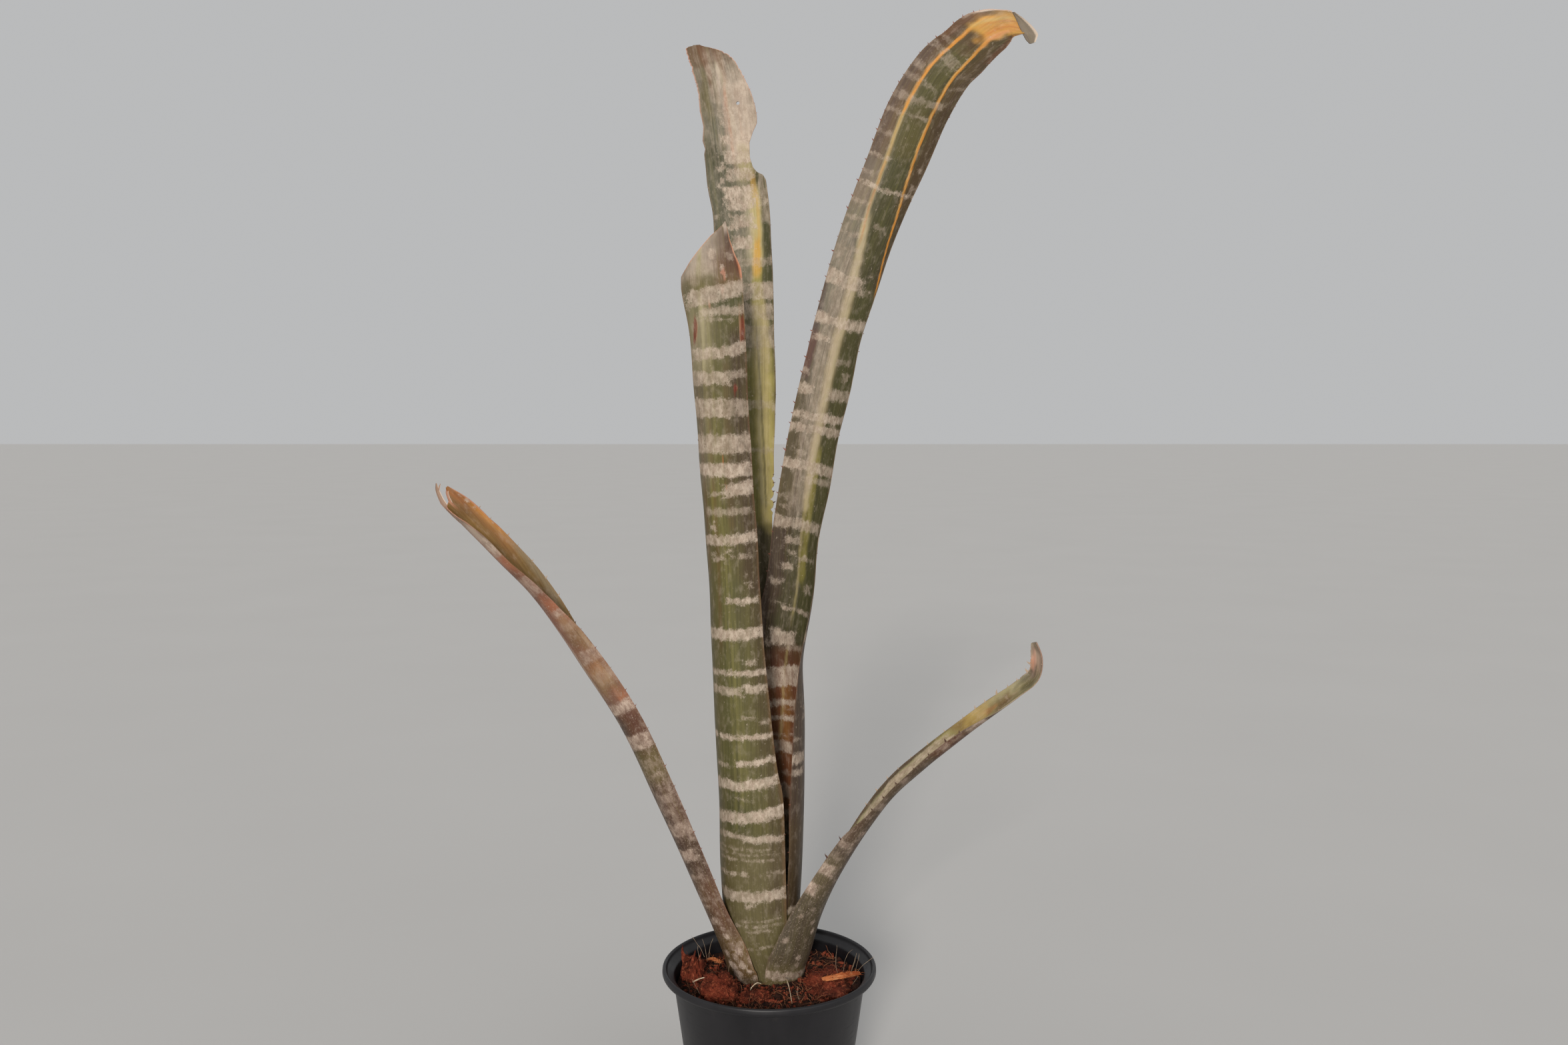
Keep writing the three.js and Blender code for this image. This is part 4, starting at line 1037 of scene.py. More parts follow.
LOWER_LEFT = {
    "name": "leaf_lower_left_blade", "node": "leaf_lower_left", "slot": "old_leaf",
    "stations": LOWER_LEFT_STATIONS, "seed": 41, "columns": 52, "length": 406.3,
    "left": [
        (0, 0.68), (13, 0.68), (28, 0.8), (56, 1), (300, 1), (322, 0.97), (350, 0.96), (366, 0.96),
        (373, 0.92), (381, 0.99), (390, 1.1), (398, 1.15), (406.3, 1.15),
    ],
    "right": [
        (0, 1), (280, 0.98), (300, 0.92), (314, 0.93), (330, 1.05), (342, 1.15), (352, 1.3), (359, 1.42),
        (366, 1.52), (376, 1.6), (382, 1.6), (388, 1.45), (394, 1.25), (396.6, 0.9), (398.4, 0.1), (400, 0),
        (403, -0.4), (406.3, -0.85),
    ],
    "rim": PINK, "rim_strength": 0.9, "rim_tip": 50,
    "spines": [
        (-1, 285, 396, 12.5, 1.9, PALE_SPINE), (-1, 70, 285, 14, 1.8, RED_SPINE),
        (1, 70, 300, 15, 1.2, RED_SPINE),
    ],
    "flaps": [
        {
            "edges": [
                [(-202.7, -37, 437.8), (-207, -37, 441.8), (-211.3, -37, 446.2), (-215.2, -37, 450.6),
                 (-217.2, -37, 455.4), (-218.5, -37, 459.8), (-218.2, -37, 464)],
                [(-204, -36.2, 442.6), (-207.4, -36, 446), (-210.9, -36, 449.9), (-213.4, -36, 453.9),
                 (-215.2, -36, 457.6), (-216.4, -36.2, 460.8), (-217.6, -36.8, 464.2)],
            ],
            "thick": 0.5, "arch": 0.5, "tint": (0.33, 0.21, 0.15), "rim": PALE,
        },
        {
            "edges": [
                [(-216.9, -36.6, 459.6), (-216.4, -36.5, 461.8), (-215.4, -36.4, 463.8)],
                [(-216, -36.3, 459.4), (-215.5, -36.3, 461.4), (-215.1, -36.3, 463.6)],
            ],
            "thick": 0.4, "arch": 0, "tint": (0.36, 0.22, 0.16), "rim": PALE,
        },
        {
            "edges": [
                [(-209.5, -35, 450.5), (-211.3, -34.6, 453.9), (-212.5, -34, 457.4), (-212.3, -33.5, 460.9)],
                [(-207.9, -34.5, 451.3), (-209.7, -34, 454.4), (-210.6, -33.8, 457.4),
                 (-210.7, -33.2, 460.5)],
            ],
            "thick": 0.5, "arch": 0.4, "tint": (0.4, 0.2, 0.13), "rim": PALE,
        },
    ],
    "outer": LOWER_LEFT_OUTER, "inner": LOWER_LEFT_INNER,
}

LOWER_RIGHT_OUTER = {
    "ground": (0.086, 0.06, 0.043),
    "strokes": [
        (OLIVE, 0.7, 0.5, (0, 0, 2), (12, 0, 2)),
        (MOSS, 0.5, 0.6, (14, -0.6, 0.8), (100, -0.6, 0.8)),
        # The strokes in the near-black shade colour in this list are painted shade: across the leaf near its
        # base and in patches further out.
        (PAINTED_SHADE, 0.55, 0.6, (22, 0, 2), (68, 0, 2)),
        (PAINTED_SHADE, 0.5, 0.7, (70, 0.1, 0.5), (125, 0.2, 0.5)),
        (BROWN, 0.3, 0.6, (120, -0.3, 0.8), (250, -0.3, 0.8)),
        (PAINTED_SHADE, 0.5, 0.6, (120, -0.2, 0.5), (225, -0.5, 0.5)),
        (MAROON, 0.5, 0.5, (205, -0.6, 0.8), (225, -0.6, 0.8)),
        (PURPLE_AND_SHADE, 0.6, 0.6, (80, 0.2, 0.6), (120, 0.3, 0.6)),
        (PAINTED_SHADE, 0.6, 0.5, (276, -0.6, 0.6), (296, -0.6, 0.6)),
        (PALE, 0.5, 0.4, (256, -0.98, 0.1), (290, -1, 0.12)),
        (PINK, 0.4, 0.6, (292, -0.6, 0.6), (312, -0.4, 0.6)),
    ],
    "bands": [
        (10, 3.2, -1.1, 0.4, 0.9), (76, 4.5, -1.1, -0.75, 1), (92, 4.5, -0.95, -0.55, 0.9),
        (114, 3, -1, -0.5, 0.7), (126, 2, -0.3, 0, 0.8), (238, 8, -1.3, -0.3, 0.7),
        (150, 4, -0.8, -0.2, 0.4), (175, 3, -0.9, -0.3, 0.4), (155, 4, 0.2, 1.2, 0.8, 2, 0),
        (211, 5, 0.2, 1.2, 0.8, 2, 0), (267, 5, 0.2, 1.2, 0.7, -1, 0), (212, 4, -1, -0.45, 0.45),
    ],
    "spots": [
        (25, -0.32, 2.6, 0.85), (18.5, -0.26, 2.4, 0.8), (37, -0.82, 2.6, 0.75), (45, -0.12, 2.2, 0.9),
        (52, -0.22, 1.8, 0.8), (38.5, -0.27, 1.6, 0.6), (55.5, -0.72, 2.2, 0.75), (62, -0.45, 1.4, 0.6),
    ],
    "frost": [(26, 74, -1.1, 0.3, 0.2), (84, 140, -1.1, 0, 0.4), (140, 235, -1.3, 0, 0.28)],
}
LOWER_RIGHT_INNER = {
    "ground": (0.33, 0.295, 0.16), "specks": 0.4,
    "strokes": [
        (OLIVE, 0.5, 0.6, (90, 0.2, 0.6), (120, 0.3, 0.6)),
        (PURPLE_AND_SHADE, 0.9, 0.4, (90, 1.12, 0.18), (122, 1.12, 0.16), (150, 1, 0.15), (180, 1, 0.15),
            (206, 1.02, 0.14), (222, 1.06, 0.12)),
        (OLIVE_YELLOW, 0.5, 0.6, (206, 0.4, 0.7), (236, 0.5, 0.7)),
        (AMBER, 0.4, 0.6, (228, 0.4, 0.7), (250, 0.4, 0.7)),
        (BROWN, 0.5, 0.5, (222, 0.6, 0.5), (228, 0.6, 0.5)),
        (RUST, 0.5, 0.25, (249, 0.2, 0.25), (251.5, 0.2, 0.2)),
        (TAN, 0.3, 0.6, (252, 0.75, 0.3), (268, 0.7, 0.3)),
        (OLIVE, 0.6, 0.6, (254, 0.1, 0.7), (270, 0.1, 0.7)),
        (BROWN, 0.6, 0.6, (256, -0.1, 0.5), (269, 0, 0.5)),
        (CREAM, 0.6, 0.4, (271, 0.3, 0.7), (276, 0.3, 0.7)),
        # The strokes in the near-black shade colour here are painted shade near the end of this face.
        (PAINTED_SHADE, 0.7, 0.5, (278, 0.1, 0.9), (288, 0.3, 0.8)),
        (OLIVE, 0.5, 0.5, (276, 0.1, 0.5), (286, 0.2, 0.5)),
        (MAROON, 0.6, 0.5, (289, 0.45, 0.35), (294, 0.5, 0.35)),
        (GREY, 0.85, 0.5, (294, -0.1, 1.2), (312, 0.1, 1.6)),
        (PINK, 0.25, 0.5, (293, 0.1, 1), (306, 0.1, 1.2)),
        (PAINTED_SHADE, 0.7, 0.4, (289, 0.45, 0.4), (293, 0.55, 0.35)),
        (RUST, 0.4, 0.3, (296.5, 0.85, 0.25), (301, 0.85, 0.2)),
        (PALE, 0.28, 0.6, (299, 0, 1.2), (308, 0.1, 1.5)),
        (PINK, 0.4, 0.5, (297, 0.75, 0.4), (304, 0.75, 0.3)),
        (PURPLE_AND_SHADE, 0.5, 0.5, (309, 0.3, 0.9), (313, 0.3, 0.9)),
    ],
    "bands": [(112, 1.6, 0, 0.8, 0.5, 2, 0), (120, 1.4, 0.2, 0.9, 0.5, 3, 0), (264, 1.4, -0.4, 0.5, 0.5)],
    "frost": [(100, 220, 0, 0.84, 0.78), (90, 222, 0.84, 1.2, 0.25), (296, 312, -1, 1, 0.2)],
}
LOWER_RIGHT = {
    "name": "leaf_lower_right_blade", "node": "leaf_lower_right", "slot": "old_leaf",
    "stations": LOWER_RIGHT_STATIONS, "seed": 53, "columns": 52,
    "left": [
        (0, 1), (60, 1), (100, 1), (118, 0.96), (127, 0.84), (140, 0.69), (156, 0.64), (173, 0.75), (197, 1),
        (213, 1.16), (229, 1.25), (242, 1.2), (252, 1.05), (280, 1), (296, 1.05), (305, 1.1), (312, 1.1),
    ],
    "right": [(0, 1), (80, 1), (104, 1.06), (130, 1.05), (165, 1), (292, 1), (302, 1.25), (312, 1.7)],
    "length": 312, "tear": 0.14, "rim": (0.42, 0.24, 0.17), "rim_strength": 0.8, "rim_tip": 70,
    "spines": [
        (-1, 92, 236, 12.5, 2.5, DARK_SPINE), (1, 100, 236, 12.5, 1.8, PALE_SPINE),
        (1, 240, 300, 8.5, 2.6, PALE_SPINE), (-1, 240, 306, 10, 1.5, PALE_SPINE),
    ],
    "outer": LOWER_RIGHT_OUTER, "inner": LOWER_RIGHT_INNER,
}


# Materials

class Nodes:
    """A short way to build a material's node tree."""

    def __init__(self, name):
        self.material = bpy.data.materials.new(name)
        self.material.use_nodes = True
        self.tree = self.material.node_tree
        self.shader = self.tree.nodes["Principled BSDF"]

    def add(self, kind, **settings):
        node = self.tree.nodes.new(kind)
        for key, value in settings.items():
            setattr(node, key, value)
        return node

    def feed(self, socket, value):
        """Links a node's output to the socket, or sets the socket itself to a constant."""
        if isinstance(value, bpy.types.NodeSocket):
            self.tree.links.new(value, socket)
        else:
            socket.default_value = value

    def feed_all(self, node, **values):
        """Feeds inputs by name, with spaces for the underscores."""
        for name, value in values.items():
            self.feed(node.inputs[name.replace("_", " ")], value)
        return node

    def finish(self, **values):
        """Feeds the shader and hands over the material."""
        self.feed_all(self.shader, **values)
        return self.material

    def attribute(self, name, output="Fac"):
        return self.add("ShaderNodeAttribute", attribute_name=name).outputs[output]

    def place(self):
        return self.add("ShaderNodeTexCoord").outputs["Object"]

    def math(self, operation, a, b):
        node = self.add("ShaderNodeMath", operation=operation)
        self.feed(node.inputs[0], a)
        self.feed(node.inputs[1], b)
        return node.outputs[0]

    def plus(self, a, b):
        return self.math("ADD", a, b)

    def times(self, a, b):
        return self.math("MULTIPLY", a, b)

    def about(self, value, middle, size):
        """The value's distance above its middle, times a size."""
        return self.times(self.math("SUBTRACT", value, middle), size)

    def scaled(self, vector, scale):
        return self.feed_all(self.add("ShaderNodeMapping"), Vector=vector, Scale=scale).outputs[0]

    def noise(self, vector, scale, detail=3.0, roughness=0.55):
        node = self.add("ShaderNodeTexNoise")
        self.feed_all(node, Vector=vector, Scale=scale, Detail=detail, Roughness=roughness)
        return node.outputs["Fac"]

    def cells(self, vector, scale):
        node = self.add("ShaderNodeTexVoronoi")
        return self.feed_all(node, Vector=vector, Scale=scale).outputs["Distance"]

    def step(self, value, low, high, to_low=0.0, to_high=1.0):
        node = self.add("ShaderNodeMapRange", interpolation_type="SMOOTHSTEP")
        self.feed_all(node, Value=value, From_Min=low, From_Max=high, To_Min=to_low, To_Max=to_high)
        return node.outputs["Result"]

    def mix(self, amount, a, b):
        node = self.add("ShaderNodeMix", data_type="RGBA")
        self.feed(node.inputs[0], amount)
        for socket, value in ((node.inputs[6], a), (node.inputs[7], b)):
            self.feed(socket, value if isinstance(value, bpy.types.NodeSocket) else (*value, 1.0))
        return node.outputs[2]

    def bump(self, height, strength, distance):
        node = self.add("ShaderNodeBump")
        return self.feed_all(node, Height=height, Strength=strength, Distance=distance).outputs[0]


class LeafNodes(Nodes):
    """A leaf's material. Its noises run over the leaf laid flat, so a scale is in cycles per millimetre,
    and a small middle number in a scaling draws the noise out along the leaf."""

    def __init__(self, name):
        super().__init__(name)
        self.flat = self.attribute("flat", "Vector")
        self.ground = self.attribute("ground", "Color")
        self.ribs = self.drawn(0.012, 0.85, 3.0, 0.6)
        self.fine_ribs = self.drawn(0.025, 2.6, 2.0, 0.6)
        self.blotch = self.drawn(0.5, 0.22, 4.0, 0.65)
        self.stipple = self.drawn(0.7, 1.5, 3.0, 0.7)

    def drawn(self, length, scale, detail, roughness):
        return self.noise(self.scaled(self.flat, (1.0, length, 1.0)), scale, detail, roughness)

    def tissue(self):
        """Ground colour with light and dark ribs, brown clouds and faint powder."""
        cloud = self.noise(self.flat, 0.05, 4.0, 0.6)
        colour = self.ground
        for noise_value, low, high, most, share, tint in (
            (self.ribs, 0.45, 0.72, 0.5, 0.35, RIB_LIGHT), (self.ribs, 0.48, 0.28, 0.6, 0.4, RIB_DARK),
            (self.fine_ribs, 0.45, 0.3, 0.5, 0.35, FINE_RIB_DARK), (cloud, 0.45, 0.72, 0.6, 0.45, CLOUD),
            (self.blotch, 0.48, 0.72, 0.6, 0.28, SILVER),
        ):
            cover = self.step(noise_value, low, high, 0.0, most)
            colour = self.mix(cover, colour, self.mix(share, self.ground, tint))
        return colour

    def bands(self, rough_edge):
        """Cover of the silver bands: ragged edges, pits, and gaps along the ribs."""
        lumps = self.drawn(0.8, 0.20, 2.0, 0.5)
        ragged = self.drawn(0.85, 0.60, 3.0, 0.65)
        depth = self.plus(self.attribute("silver"), self.about(lumps, 0.5, 6.5 * rough_edge))
        depth = self.plus(depth, self.about(ragged, 0.54, 4.4 * rough_edge))
        cover = self.plus(self.step(depth, -2.8, 2.6), self.about(self.stipple, 0.5, 1.0))
        band = self.step(cover, 0.28, 0.96)
        pits = self.cells(self.scaled(self.flat, (1.0, 0.8, 1.0)), 0.5)
        pitted = self.step(self.noise(self.flat, 0.16, 2.0), 0.46, 0.62)
        pit = self.times(self.step(pits, 0.30, 0.10), self.times(pitted, 0.75))
        band = self.times(band, self.math("SUBTRACT", 1.0, pit))
        band = self.times(band, self.step(self.fine_ribs, 0.28, 0.46, 0.84, 1.0))
        patchy = self.step(self.blotch, 0.30, 0.60, 0.50, 1.0)
        return self.times(band, self.times(self.attribute("amount"), patchy))

    def veil(self, streaked):
        """Cover of the thin powder between the bands: in streaks on a fresh leaf, blotchy on an old one."""
        streak = self.drawn(0.03, 0.95, 3.0, 0.6) if streaked else self.drawn(0.7, 0.45, 4.0, 0.75)
        softness = 0.5 if streaked else 0.17
        frost = self.attribute("frost")
        drift = self.plus(self.times(streak, 0.5), self.times(self.blotch, 0.5))
        veil = self.plus(self.about(drift, 0.5, 2.0), frost)
        veil = self.step(veil, 0.5 - softness, 0.5 + softness)
        veil = self.times(veil, self.step(frost, 0.0, 1.0, 0.0, 0.85))
        return self.times(veil, self.step(self.fine_ribs, 0.32, 0.52, 0.45, 1.0))

    def specks(self, scale, low):
        scurf = self.drawn(0.8, scale, 3.0, 0.7)
        return self.times(self.step(scurf, low, low + 0.12, 0.0, 0.65), self.attribute("specks"))

    def powder_colour(self, light, dark):
        shade = self.drawn(0.5, 0.34, 4.0, 0.65)
        colour = self.mix(self.step(shade, 0.36, 0.62), light, dark)
        colour = self.mix(self.step(self.stipple, 0.48, 0.72, 0.0, 0.55), colour, POWDER_LIGHT)
        colour = self.mix(self.step(self.stipple, 0.42, 0.28, 0.0, 0.5), colour, POWDER_DARK)
        return self.mix(0.15, colour, self.mix(0.5, self.ground, SILVER))

    def relief(self, powder):
        grain = self.noise(self.flat, 1.3, 3.0, 0.7)
        height = self.plus(self.times(self.ribs, 0.5), self.times(self.fine_ribs, 0.25))
        height = self.plus(height, self.times(powder, 0.25))
        return self.bump(self.plus(height, self.times(grain, 0.12)), 0.55, 0.0006)


def leaf_material(name, streaked, light, dark, rough_edge, speck_scale, speck_low):
    """Leaf tissue with fine ribs, powdery silver bands with ragged edges and pits, and scurf."""
    n = LeafNodes(name)
    powder = n.math("MAXIMUM", n.bands(rough_edge), n.veil(streaked))
    powder = n.math("MAXIMUM", powder, n.specks(speck_scale, speck_low))
    colour = n.mix(powder, n.tissue(), n.powder_colour(light, dark))
    roughness = n.step(powder, 0.0, 1.0, 0.46, 0.86)
    return n.finish(Base_Color=colour, Roughness=roughness, Specular_IOR_Level=0.24, Normal=n.relief(powder))


def plastic_material():
    """Satin black plastic with faint moulding grain, scuffs and specks of dust."""
    n = Nodes("pot_black_plastic")
    place = n.place()
    smear = n.noise(n.scaled(place, (1.0, 1.0, 0.35)), 28.0, 5.0, 0.65)
    dust = n.noise(place, 75.0, 5.0, 0.7)
    scratch = n.noise(n.scaled(place, (1.0, 1.0, 9.0)), 60.0, 3.0, 0.7)
    colour = n.mix(n.step(smear, 0.35, 0.75), PLASTIC_DARK, PLASTIC_LIGHT)
    colour = n.mix(n.step(dust, 0.60, 0.80, 0.0, 0.22), colour, DUST)
    rough = n.plus(n.step(smear, 0.3, 0.7, 0.36, 0.50), n.step(scratch, 0.55, 0.75, 0.0, 0.12))
    relief = n.bump(n.noise(place, 900.0, 3.0, 0.6), 0.25, 0.00012)
    return n.finish(Base_Color=colour, Roughness=rough, Specular_IOR_Level=0.42, Normal=relief)


def coir_material(name, dark, mid, bright, scale=1.0, stretch=(1.0, 1.0, 1.0)):
    """Husk fibre: strands in three tones, matted and dull."""
    n = Nodes(name)
    place = n.scaled(n.place(), stretch)
    patch = n.noise(place, 90.0 * scale, 4.0, 0.65)
    strand = n.noise(place, 420.0 * scale, 4.0, 0.7)
    speck = n.noise(place, 1500.0 * scale, 2.0, 0.6)
    colour = n.mix(n.step(patch, 0.34, 0.62), dark, mid)
    colour = n.mix(n.step(strand, 0.5, 0.72), colour, bright)
    colour = n.mix(n.step(strand, 0.46, 0.32, 0.0, 0.7), colour, dark)
    colour = n.mix(n.step(speck, 0.62, 0.75, 0.0, 0.4), colour, bright)
    relief = n.bump(n.plus(strand, n.times(speck, 0.4)), 0.9, 0.0012)
    return n.finish(Base_Color=colour, Roughness=0.93, Specular_IOR_Level=0.18, Normal=relief)


def strand_material(name, low, high):
    """Thin dry fibres and roots, a little uneven along their length."""
    n = Nodes(name)
    place = n.place()
    colour = n.mix(n.step(n.noise(place, 160.0, 3.0, 0.6), 0.35, 0.65), low, high)
    relief = n.bump(n.noise(place, 1800.0), 0.4, 0.0002)
    return n.finish(Base_Color=colour, Roughness=0.7, Specular_IOR_Level=0.3, Normal=relief)


def floor_material():
    n = Nodes("pale_floor")
    tone = n.noise(n.place(), 3.0, 4.0, 0.5)
    return n.finish(Base_Color=n.mix(tone, FLOOR_DARK, FLOOR_LIGHT), Roughness=0.85)


# Pot and mix

def ring(radius, count, offset=0.0):
    """Evenly spread places (x, y) on a circle."""
    turns = [2 * math.pi * (k + offset) / count for k in range(count)]
    return [(radius * math.cos(turn), radius * math.sin(turn)) for turn in turns]


def turned_mesh(name, profile, segments):
    """A closed profile of (radius, height) pairs, both ends on the axis, turned about Z."""
    verts, rings = [], []
    for radius, height in profile:
        if radius < 1e-6:
            rings.append([len(verts)] * segments)
            verts.append((0.0, 0.0, height * MM))
            continue
        rings.append([len(verts) + k for k in range(segments)])
        verts += [(x, y, height * MM) for x, y in ring(radius * MM, segments)]
    faces = []
    for low, high in zip(rings, rings[1:]):
        for k in range(segments):
            n = (k + 1) % segments
            faces.append(tuple(dict.fromkeys((low[k], low[n], high[n], high[k]))))
    mesh = bpy.data.meshes.new(name)
    mesh.from_pydata(verts, [], faces)
    return mesh


def rounded(profile, radius, steps=4):
    """The profile with each inner corner replaced by a small curve."""
    points = [Vector(p) for p in profile]
    out = [tuple(points[0])]
    for before, here, after in zip(points, points[1:], points[2:]):
        back, ahead = before - here, after - here
        cut = min(radius, 0.45 * back.length, 0.45 * ahead.length)
        start, end = here + back.normalized() * cut, here + ahead.normalized() * cut
        for k in range(steps + 1):
            t = k / steps
            out.append(tuple(start * (1 - t) ** 2 + here * 2 * t * (1 - t) + end * t * t))
    out.append(tuple(points[-1]))
    return out


def body_radius(height):
    return BODY_BASE_RADIUS + (BODY_TOP_RADIUS - BODY_BASE_RADIUS) * height / (POT_HEIGHT - LIP_HEIGHT)


def link_piece(name, mesh, material, node=None, slot=None):
    piece = bpy.data.objects.new(name, mesh)
    bpy.context.scene.collection.objects.link(piece)
    mesh.materials.append(material)
    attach(piece, "root")
    if node:
        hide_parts(node)
    return piece


def pot_profile():
    """Radius and height from the middle of the underside, up the outside, over the lip and down inside."""
    lip = POT_HEIGHT - LIP_HEIGHT
    foot_inner = BODY_BASE_RADIUS - FOOT_WIDTH
    return [
        (0, 0), (CENTRE_PAD_RADIUS, 0), (CENTRE_PAD_RADIUS + 1, FOOT_RECESS), (foot_inner - 1, FOOT_RECESS),
        (foot_inner, 0), (BODY_BASE_RADIUS - 0.6, 0), (body_radius(2), 2),
        (body_radius(STACK_STEP) - 0.5, STACK_STEP), (body_radius(STACK_STEP + 1), STACK_STEP + 1),
        (body_radius(lip) - 0.1, lip - 0.2), (RIM_RADIUS - 1.2, lip + 1.2), (RIM_RADIUS, lip + 3.0),
        (RIM_RADIUS - 0.25, POT_HEIGHT - 1.0), (RIM_RADIUS - 1.3, POT_HEIGHT),
        (RIM_RADIUS - 2.7, POT_HEIGHT - 0.6), (RIM_RADIUS - 3.4, lip + 4),
        (body_radius(lip) - 0.9, lip + 1.2), (body_radius(lip) - POT_WALL, lip - 2),
        (body_radius(FLOOR_TOP) - POT_WALL, FLOOR_TOP), (0, FLOOR_TOP),
    ]


def drain_cutter():
    """A ring of rods that cut the drain holes."""
    work = bmesh.new()
    for x, y in ring(DRAIN_CIRCLE, DRAIN_COUNT):
        place = Matrix.Translation(Vector((x, y, FLOOR_TOP / 2)) * MM)
        bmesh.ops.create_cone(
            work, cap_ends=True, segments=32, radius1=DRAIN_RADIUS * MM, radius2=DRAIN_RADIUS * MM,
            depth=3 * FLOOR_TOP * MM, matrix=place,
        )
    mesh = bpy.data.meshes.new("drain_cutters")
    work.to_mesh(mesh)
    work.free()
    cutter = bpy.data.objects.new("drain_cutters", mesh)
    bpy.context.scene.collection.objects.link(cutter)
    return cutter


def apply_boolean(piece, cutter):
    cut = piece.modifiers.new("cut", "BOOLEAN")
    cut.operation = "DIFFERENCE"
    cut.solver = "EXACT"
    cut.object = cutter
    depsgraph = bpy.context.evaluated_depsgraph_get()
    done = bpy.data.meshes.new_from_object(piece.evaluated_get(depsgraph))
    piece.modifiers.clear()
    old = piece.data
    piece.data = done
    bpy.data.meshes.remove(old)
    bpy.data.objects.remove(cutter)


def build_pot():
    mesh = turned_mesh("pot_shell", rounded(pot_profile(), 1.0), POT_SEGMENTS)
    finish_mesh(mesh, POT_SHARP)
    pot = link_piece("pot_shell", mesh, MATERIALS["plastic"], "pot", "pot_plastic")
    apply_boolean(pot, drain_cutter())
    pot.data.shade_smooth()
    pot.data.set_sharp_from_angle(angle=math.radians(POT_SHARP))


def mix_height(x, y):
    """Height of the mix's surface, in millimetres: lumpy, with grains of husk."""
    place = Vector((x, y, 0.0))
    low = noise.fractal(place / 17.0, 0.9, 2.1, 4)
    grains = noise.cell_vector(place / 3.1)[0] * 0.9
    rough = noise.turbulence(place / 2.6, 3, True)
    return MIX_TOP - 0.6 + 2.1 * low + 0.9 * grains + 1.6 * rough


def mix_points():
    """The middle of the top, rings out to the pot's wall, and a ring at the foot."""
    top_radius = body_radius(MIX_TOP) - POT_WALL - 0.3
    base_radius = body_radius(FLOOR_TOP) - POT_WALL - 0.5
    points = [(0.0, 0.0, mix_height(0, 0) * MM)]
    for i in range(1, MIX_RINGS + 1):
        for x, y in ring(top_radius * i / MIX_RINGS, MIX_SEGMENTS, 0.5 * (i % 2)):
            rise = mix_height(x, y) if i < MIX_RINGS else MIX_TOP - 1.0
            points.append((x * MM, y * MM, rise * MM))
    for x, y in ring(base_radius, MIX_SEGMENTS):
        points.append((x * MM, y * MM, (FLOOR_TOP + 0.3) * MM))
    return points


def mix_faces():
    """Triangles over the top, where every second ring is turned half a step, then sides and bottom."""
    around = [(k, (k + 1) % MIX_SEGMENTS) for k in range(MIX_SEGMENTS)]
    faces = [(0, 1 + k, 1 + n) for k, n in around]
    for i in range(MIX_RINGS - 1):
        inner, outer = 1 + i * MIX_SEGMENTS, 1 + (i + 1) * MIX_SEGMENTS
        for k, n in around:
            if i % 2 == 0:
                faces += [(inner + k, outer + k, inner + n), (inner + n, outer + k, outer + n)]
            else:
                faces += [(inner + k, outer + k, outer + n), (inner + k, outer + n, inner + n)]
    rim = 1 + (MIX_RINGS - 1) * MIX_SEGMENTS
    foot = rim + MIX_SEGMENTS
    faces += [(rim + k, foot + k, foot + n, rim + n) for k, n in around]
    return faces + [tuple(foot + k for k, _ in around)]


def build_mix():
    mesh = bpy.data.meshes.new("mix_body")
    mesh.from_pydata(mix_points(), [], mix_faces())
    finish_mesh(mesh, 70)
    link_piece("mix_body", mesh, MATERIALS["mix"], "potting_mix", "coir_mix")


# Husk, chips, roots and hairs

class Builder:
    """Gathers many small closed shapes in one mesh."""

    def __init__(self):
        self.verts, self.faces = [], []

    def tube(self, path, radii, sides=4):
        """A closed tube along a path of points, in millimetres."""
        start = len(self.verts)
        guide = Vector((0.31, 0.57, 0.76))
        for i, point in enumerate(path):
            ahead = (path[min(i + 1, len(path) - 1)] - path[max(i - 1, 0)]).normalized()
            across = ahead.cross(guide).normalized()
            other = ahead.cross(across)
            for x, y in ring(1.0, sides):
                self.verts.append((point + (across * x + other * y) * radii[i]) * MM)
        for i in range(len(path) - 1):
            for k in range(sides):
                n = (k + 1) % sides
                a, b = start + i * sides, start + (i + 1) * sides
                self.faces.append((a + k, a + n, b + n, b + k))
        self.faces.append(tuple(start + k for k in reversed(range(sides))))
        last = start + (len(path) - 1) * sides
        self.faces.append(tuple(last + k for k in range(sides)))

    def grain(self, template, centre, size, spin, seed):
        """A rough grain: an icosphere pushed about by noise."""
        start = len(self.verts)
        for v in template[0]:
            swell = 1 + 0.5 * noise.noise(v * 1.7 + Vector((seed, 0, -seed)))
            swell += 0.25 * noise.noise(v * 4.1 + Vector((0, seed, seed)))
            p = spin @ (v * Vector(size)) * swell
            self.verts.append((centre + p) * MM)
        self.faces += [tuple(start + k for k in f) for f in template[1]]

    def link(self, name, sharp, material, node=None, slot="coir"):
        mesh = bpy.data.meshes.new(name)
        mesh.from_pydata(self.verts, [], self.faces)
        finish_mesh(mesh, sharp)
        link_piece(name, mesh, MATERIALS[material], node, slot)


def ball(subdivisions):
    """Points and faces of a unit icosphere."""
    work = bmesh.new()
    bmesh.ops.create_icosphere(work, subdivisions=subdivisions, radius=1.0)
    points = [v.co.copy() for v in work.verts]
    faces = [tuple(v.index for v in f.verts) for f in work.faces]
    work.free()
    return points, faces


def random_vector(draw, spread):
    return Vector([draw.gauss(0, spread) for _ in range(3)])


def random_turn(draw):
    axis = random_vector(draw, 1).normalized()
    return Matrix.Rotation(draw.uniform(0, 2 * math.pi), 3, axis)


def random_spot(draw, reach):
    """A place on the mix, evenly spread over a circle."""
    radius = reach * math.sqrt(draw.random())
    turn = draw.uniform(0, 2 * math.pi)
    return radius * math.cos(turn), radius * math.sin(turn)


def curly(draw, start, direction, length, bend, steps):
    """A fibre's path that wanders as it goes."""
    path = [start.copy()]
    heading = direction.normalized()
    for _ in range(steps):
        heading = (heading + random_vector(draw, bend)).normalized()
        path.append(path[-1] + heading * length / steps)
    return path


